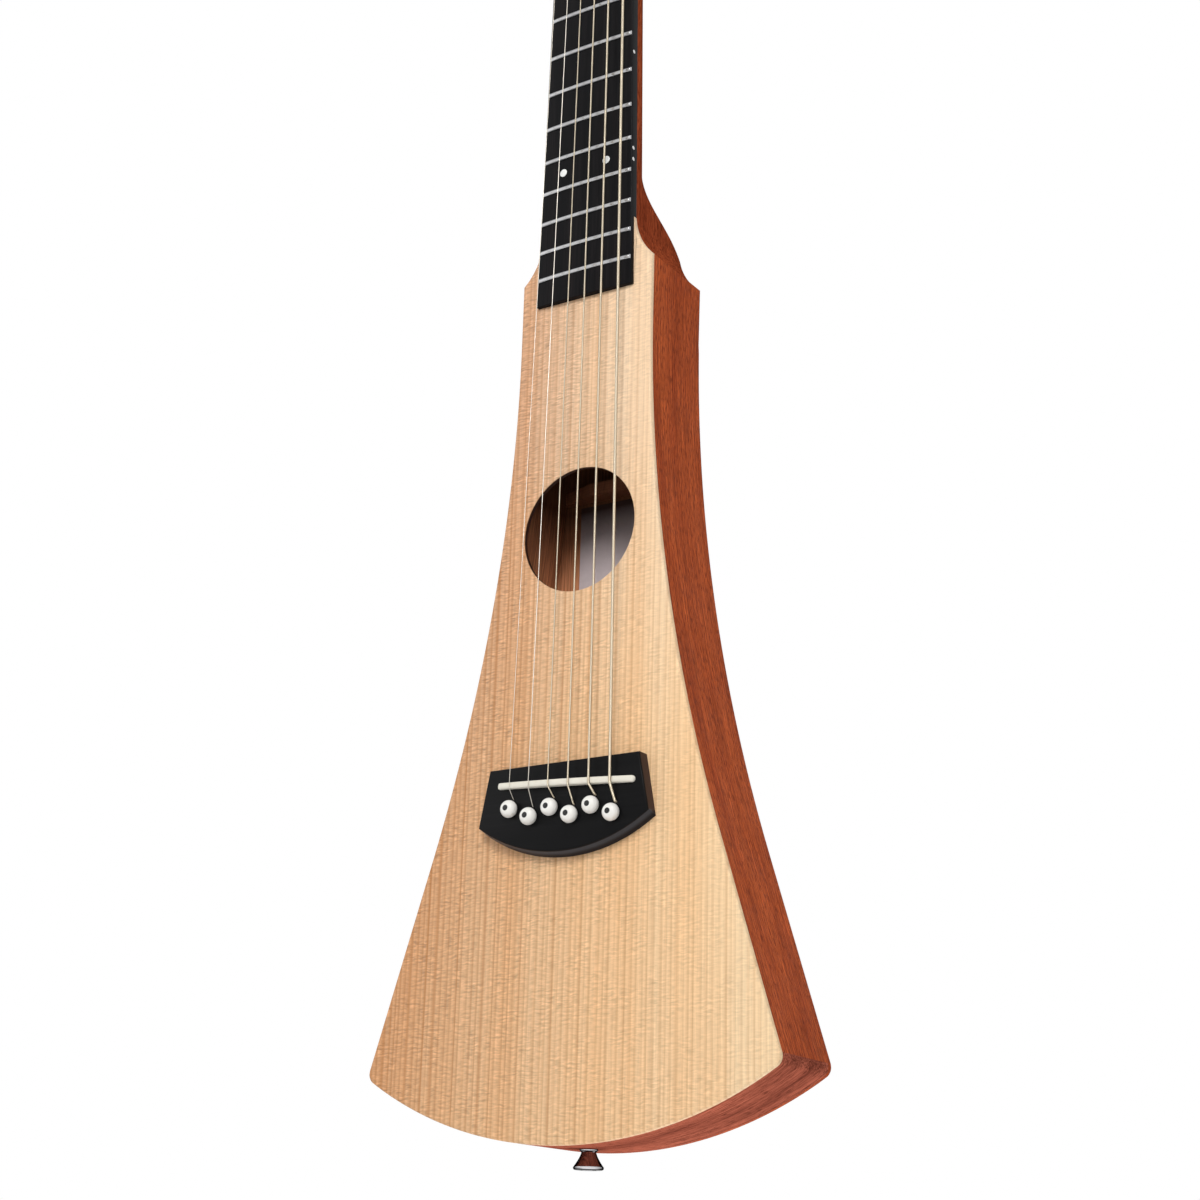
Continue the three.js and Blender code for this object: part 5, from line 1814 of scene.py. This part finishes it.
@dataclass
class Tuners:
    """Open tuning machines: plates, posts with wheels, and knobs with worms."""

    neck: Neck
    places: TunerPlaces
    teeth: int = 14
    module: float = 0.8
    wheel_width: float = 4.0
    worm_radius: float = 3.0
    worm_turns: int = 3
    addendum: float = 0.7
    dedendum: float = 1.0
    plate_thickness: float = 1.2
    plate_width: float = 16.0
    plate_margin: float = 8.0
    ear_spacing: float = 12.0
    ear_thickness: float = 1.5
    ear_half: float = 3.5
    ear_top: float = 2.4
    screw_inset: float = 3.2
    screw_drop: float = 9.5
    post_proud: float = 13.0
    knob_length: float = 11.0
    knob_gap: float = 4.0
    knob_half_width: float = 8.0
    knob_half_thickness: float = 4.5

    @property
    def plate_front(self) -> float:
        """Depth of the plates' inner face in the headstock's frame."""
        return self.neck.head_thickness + LAYOUT.seam

    @property
    def plate_back(self) -> float:
        """Depth of the plates' outer face in the headstock's frame."""
        return self.plate_front + self.plate_thickness

    @property
    def worm_height(self) -> float:
        """Depth of the worms' axes in the headstock's frame."""
        return self.plate_back + self.worm_radius + self.addendum + LAYOUT.slip

    @property
    def wheel_radius(self) -> float:
        """Pitch radius of the wheels."""
        return self.module * self.teeth / 2

    @property
    def reach(self) -> float:
        """Distance from a wheel's axis to its worm's."""
        return self.wheel_radius + self.worm_radius

    @property
    def thread_pitch(self) -> float:
        """How far a worm's thread climbs in a turn."""
        return math.pi * self.module

    def plate(self, side: int, name: str, node: str) -> None:
        """Makes one plate with its round ends, bent ears and screws.

        Args:
            side: 1 for the bass side and -1 for the treble side.
            name: the piece's name.
            node: the node that it stands for.
        """
        places = self.places
        low, high = places.first - self.plate_margin, places.first + 2 * places.pitch + self.reach + self.plate_margin
        centre, half = side * places.inset, self.plate_width / 2
        blank = Blank()
        blank.block((centre - half, self.plate_front, low), (centre + half, self.plate_back, high))
        blank.soften(3.0, 6, lambda edge: abs(edge.verts[0].co.y - edge.verts[1].co.y) > 0.5)
        blank.soften(0.35, 2, lambda edge: all(corner.co.y > self.plate_back - NEAR for corner in edge.verts), 60.0)
        for row in range(places.rows):
            worm = places.first + places.pitch * row + self.reach
            for end in (-1, 1):
                ear = centre + end * (self.ear_spacing + self.ear_thickness) / 2
                corners = blank.block((ear - self.ear_thickness / 2, self.plate_back - 0.6, worm - self.ear_half),
                                      (ear + self.ear_thickness / 2, self.worm_height + self.ear_top,
                                       worm + self.ear_half))
                top = [e for c in corners for e in c.link_edges if all(v.co.y > self.worm_height for v in e.verts)
                       and abs(e.verts[0].co.x - e.verts[1].co.x) > 0.5]
                bmesh.ops.bevel(blank.mesh, geom=list(set(top)), offset=2.6, offset_type="OFFSET", affect="EDGES",
                                segments=6, profile=0.5, material=-1)
        blank.finish(name, CHROME, replaces=[node], place=self.neck.head_frame)
        between = [places.first + row * places.pitch - self.screw_drop for row in (1, 2)]
        for number, z in enumerate((low + self.screw_inset, *between, high - self.screw_inset), 1):
            self.screw(f"{name}_screw_{number}", centre, z)

    def screw(self, name: str, x: float, z: float) -> None:
        """Makes a small domed screw head with black bars, painted shade for its cross recess.

        Args:
            name: the piece's name.
            x: its place across the headstock.
            z: its height in the headstock's frame.
        """
        place = self.neck.head_frame @ shift(x, self.plate_back - 0.1, z) @ Matrix.Rotation(-QUARTER, 4, "X")
        head = Blank()
        head.turned([(0, 0), (1.5, 0), (1.7, 0.2), (1.5, 0.6), (0.9, 0.95), (0.0, 1.05)], 24)
        head.finish(name, CHROME, place=place)
        # Painted shade: black bars stand in for the dark cross recess.
        cross = Blank()
        for turn in (0.0, QUARTER):
            corners = cross.block((-0.95, -0.16, 0.7), (0.95, 0.16, 1.07))
            bmesh.ops.rotate(cross.mesh, verts=corners, cent=(0, 0, 0), matrix=Matrix.Rotation(turn + 0.4, 3, "Z"))
        cross.finish(f"{name}_recess", EBONY_LAMINATE, place=place)

    def post(self, index: int) -> None:
        """Makes one string post with its leaning-toothed wheel, and the washer that it turns in.

        Args:
            index: its string's number, from 0 at the treble side.
        """
        _, x, z = self.places.post(index)
        number, body = index + 1, f"post_{index + 1}"
        place = self.neck.head_frame @ shift(x, 0, z)
        radius, proud = self.places.post_radius, self.post_proud
        hub, worm = -(self.plate_back + LAYOUT.slip), -self.worm_height
        end = worm - 2.0
        blank = Blank()
        blank.turned([(0, proud), (1.6, proud), (2.6, proud - 0.35), (radius, proud - 1.0), (radius, proud - 3.4),
                      (2.72, proud - 4.2), (2.65, 6.4), (radius, 5.2), (radius, hub), (4.0, hub), (4.0, worm),
                      (2.4, worm), (2.4, end - 0.9), (2.1, end - 1.2), (0, end - 1.2)], 40)
        bmesh.ops.transform(blank.mesh, matrix=Matrix.Rotation(QUARTER, 4, "X"), verts=blank.mesh.verts)
        self.wheel(blank)
        blank.finish(f"{body}_with_wheel", CHROME, body=body, replaces=[f"tuner_post_{number}"], place=place)
        rim = radius + 0.02
        # Painted shade: a black rod through the post stands in for the dark inside of its string hole.
        hole = Blank()
        hole.turned([(0, -rim), (0.9, -rim), (0.9, rim), (0, rim)], 20)
        hole.finish(f"{body}_hole", EBONY_LAMINATE, body=body,
                    place=place @ shift(0, 1.8 - proud, 0) @ Matrix.Rotation(QUARTER, 4, "Y"))
        washer = Blank()
        washer.turned([(3.35, 0.0), (6.2, 0.0), (6.2, 0.5), (5.6, 1.1), (4.2, 1.5), (3.35, 1.3)], 48, closed=True)
        washer.finish(f"{body}_washer", CHROME, place=place @ Matrix.Rotation(QUARTER, 4, "X"))

    def wheel(self, blank: Blank) -> None:
        """Adds a wheel with leaning teeth about Y, at the worm's height.

        Args:
            blank: the piece that gets it.
        """
        tip, root = self.wheel_radius + self.addendum, self.wheel_radius - self.dedendum
        lead = math.atan(self.thread_pitch / (2 * math.pi * self.worm_radius))
        lean = self.wheel_width * math.tan(lead) / self.wheel_radius
        sections = []
        for share in spaced(-0.5, 0.5, 6):
            y = self.worm_height + self.wheel_width * share
            section = []
            for tooth in range(self.teeth):
                turn = tooth * (2 * math.pi / self.teeth) - lean * share
                for r, off in ((root, -0.8 / root), (tip, -0.35 / tip), (tip, 0.35 / tip), (root, 0.8 / root)):
                    section.append((r * math.cos(turn + off), y, r * math.sin(turn + off)))
            sections.append(section)
        blank.loft(sections)

    @staticmethod
    def knob_share(t: float) -> float:
        """Gives a knob's width as a share of its widest.

        Args:
            t: where along it, from 0 at its shaft to 1 at its end.

        Returns:
            The share, never quite 0.
        """
        if t < 0.55:
            wide = 0.36 + 0.64 * math.sin(math.pi * min(t * 1.25 + 0.02, 1.27) / 2.0) ** 0.9
        else:
            wide = math.sqrt(max(1 - ((t - 0.5) / 0.5) ** 4, 0.0))
        return max(wide, 0.05)

    def knob(self, index: int) -> None:
        """Makes one knob with its shaft and worm.

        Args:
            index: its string's number, from 0 at the treble side.
        """
        side, x, z = self.places.post(index)
        number = index + 1
        outer = self.neck.head_top_width / 2 - self.places.inset + self.knob_gap
        core = self.worm_radius - self.dedendum
        half = self.worm_turns * self.thread_pitch / 2 + 0.8
        inner = self.ear_spacing / 2 + self.ear_thickness
        blank = Blank()
        blank.turned([(0, -inner), (1.5, -inner), (1.5, -half), (core, -half), (core, half), (1.5, half),
                      (1.5, inner + 0.3), (2.3, inner + 0.3), (2.3, inner + 0.9), (1.5, inner + 1.1),
                      (1.5, outer - 1.4), (2.4, outer - 1.0), (2.6, outer - 0.2), (1.9, outer + 0.5),
                      (0, outer + 0.6)], 32)
        bmesh.ops.transform(blank.mesh, matrix=Matrix.Rotation(side * QUARTER, 4, "Y"), verts=blank.mesh.verts)
        self.thread(blank, core)
        sections = []
        for t in spaced(0.0, 1.0, 20):
            along, share = outer + self.knob_length * t, self.knob_share(t)
            sections.append([(side * along, self.knob_half_thickness * share * math.cos(a),
                              self.knob_half_width * share * math.sin(a)) for a in round_turn(36)])
        blank.loft(sections)
        place = self.neck.head_frame @ shift(x, self.worm_height, z + self.reach)
        blank.finish(f"knob_{number}_with_worm", CHROME, body=f"knob_{number}", replaces=[f"tuner_knob_{number}"],
                     place=place)

    def thread(self, blank: Blank, core: float) -> None:
        """Adds the worm's thread round X.

        Args:
            blank: the piece that gets it.
            core: the radius of what it lies on.
        """
        tip, root = self.worm_radius + self.addendum, core - 0.3
        section = ((root, -0.7), (tip, -0.25), (tip, 0.25), (root, 0.7))
        sections = []
        for turn in spaced(-self.worm_turns / 2, self.worm_turns / 2, 24 * self.worm_turns):
            angle = 2 * math.pi * turn - QUARTER
            sections.append([(x + self.thread_pitch * turn, r * math.cos(angle), r * math.sin(angle))
                             for r, x in section])
        blank.loft(sections)

    def build(self) -> None:
        """Makes both plates, the posts and the knobs."""
        self.plate(1, "bass_machine_plate", "tuner_plate_bass")
        self.plate(-1, "treble_machine_plate", "tuner_plate_treble")
        for index in range(len(LAYOUT.string_diameters)):
            self.post(index)
            self.knob(index)


@dataclass
class Studio:
    """The camera, the lights, the white surroundings and the pale floor."""

    camera_place: Place = (0.51462, -0.77234, -0.84240)
    camera_aim: Place = (-0.515234, 0.793721, 0.323327)
    camera_roll: float = math.radians(1.5546)
    focal_length: float = 62.768
    sensor_width: float = 36.0
    nearest: float = 0.05
    farthest: float = 50.0
    world_strength: float = 0.4
    floor_height: float = -1.12
    floor_half: float = 6.0
    floor_tone: float = 0.86
    floor_glow: float = 0.38
    fade_start: float = 0.9
    fade_end: float = 3.2

    def camera(self) -> None:
        """Sets the camera where the photographer stood."""
        data = bpy.data.cameras.new("studio_camera")
        data.sensor_width, data.lens = self.sensor_width, self.focal_length
        data.clip_start, data.clip_end = self.nearest, self.farthest
        camera = bpy.data.objects.new("studio_camera", data)
        turn = Vector(self.camera_aim).to_track_quat("-Z", "Y").to_matrix().to_4x4()
        camera.matrix_world = Matrix.Translation(self.camera_place) @ turn @ Matrix.Rotation(self.camera_roll, 4, "Z")
        bpy.context.scene.collection.objects.link(camera)
        bpy.context.scene.camera = camera

    def lamp(self, name: str, place: Place, aim: Place, size: float, power: float) -> None:
        """Adds a square soft light.

        Args:
            name: its name.
            place: where it stands, in metres.
            aim: the place that it faces.
            size: its side, in metres.
            power: its power, in watts.
        """
        data = bpy.data.lights.new(name, "AREA")
        data.shape, data.size, data.energy = "SQUARE", size, power
        lamp = bpy.data.objects.new(name, data)
        turn = (Vector(aim) - Vector(place)).to_track_quat("-Z", "Y").to_matrix().to_4x4()
        lamp.matrix_world = Matrix.Translation(place) @ turn
        bpy.context.scene.collection.objects.link(lamp)

    @staticmethod
    def seen(bench: NodeBench) -> Socket:
        """Tells light that is looked at from light that falls on things.

        Args:
            bench: where the nodes go.

        Returns:
            1 where the camera, gloss or glass looks, and 0 elsewhere.
        """
        rays = bench.node("LightPath")
        through = bench.math("MAXIMUM", rays.outputs["Is Glossy Ray"], rays.outputs["Is Transmission Ray"])
        return bench.math("MAXIMUM", rays.outputs["Is Camera Ray"], through)

    def surroundings(self) -> None:
        """Makes the world: even soft light, and plain white where the camera, gloss or glass sees it."""
        world = bpy.data.worlds.new("studio_world")
        world.use_nodes = True
        world.node_tree.nodes.clear()
        bench = NodeBench(world.node_tree)
        light = bench.node("Background", {"Color": WHITE, "Strength": self.world_strength})
        white = bench.node("Background", {"Color": WHITE, "Strength": 1.0})
        both = bench.node("MixShader", {0: self.seen(bench), 1: light.outputs[0], 2: white.outputs[0]})
        bench.node("OutputWorld", {"Surface": both.outputs[0]})
        bpy.context.scene.world = world

    def floor(self) -> None:
        """Makes the pale floor: it keeps shadows near the guitar and fades to plain white farther out."""
        shape = bmesh.new()
        bmesh.ops.create_grid(shape, x_segments=4, y_segments=4, size=self.floor_half)
        bmesh.ops.translate(shape, verts=shape.verts, vec=(0, 0, self.floor_height))
        data = bpy.data.meshes.new("studio_floor")
        shape.to_mesh(data)
        shape.free()
        material = bpy.data.materials.new("studio_floor")
        material.use_nodes = True
        material.node_tree.nodes.clear()
        bench = NodeBench(material.node_tree)
        matt = bench.node("BsdfDiffuse", {"Color": (self.floor_tone, self.floor_tone, self.floor_tone, 1)})
        glow = bench.node("Emission", {"Color": WHITE, "Strength": self.floor_glow})
        near = bench.node("AddShader", {0: matt.outputs[0], 1: glow.outputs[0]})
        white = bench.node("Emission", {"Color": WHITE, "Strength": 1.0})
        place = bench.node("TexCoord").outputs["Object"]
        reach = bench.node("VectorMath", {0: bench.scaled(place, (1, 1, 0))}, operation="LENGTH").outputs["Value"]
        fade = bench.spread(reach, self.fade_start, self.fade_end)
        lit = bench.node("MixShader", {0: fade, 1: near.outputs[0], 2: white.outputs[0]})
        both = bench.node("MixShader", {0: self.seen(bench), 1: matt.outputs[0], 2: lit.outputs[0]})
        bench.node("OutputMaterial", {"Surface": both.outputs[0]})
        data.materials.append(material)
        floor = bpy.data.objects.new("studio_floor", data)
        bpy.context.scene.collection.objects.link(floor)

    def build(self) -> None:
        """Makes the whole studio."""
        self.camera()
        self.surroundings()
        self.lamp("key_light", (0.9, -2.3, 0.9), (0.0, 0.0, -0.5), 1.1, 50.0)
        self.lamp("left_fill", (-2.0, -1.6, -0.1), (0.0, 0.0, -0.5), 1.8, 6.0)
        self.lamp("low_fill", (0.04, 0.1, -1.07), (0.02, 0.02, -0.76), 0.4, 0.8)
        self.floor()
        bpy.context.scene.view_settings.view_transform = "Standard"
        log.info("studio is ready")


def main() -> None:
    """Builds the studio and every sub-assembly."""
    Studio().build()
    neck, bridge, places = Neck(), Bridge(), TunerPlaces()
    for assembly in (Body(), Inside(), neck, Fingerboard(), bridge, Strings(bridge, neck, places), StrapButton(),
                     Tuners(neck, places)):
        log.info("building %s", type(assembly).__name__)
        assembly.build()


if __name__ == "__main__":
    main()
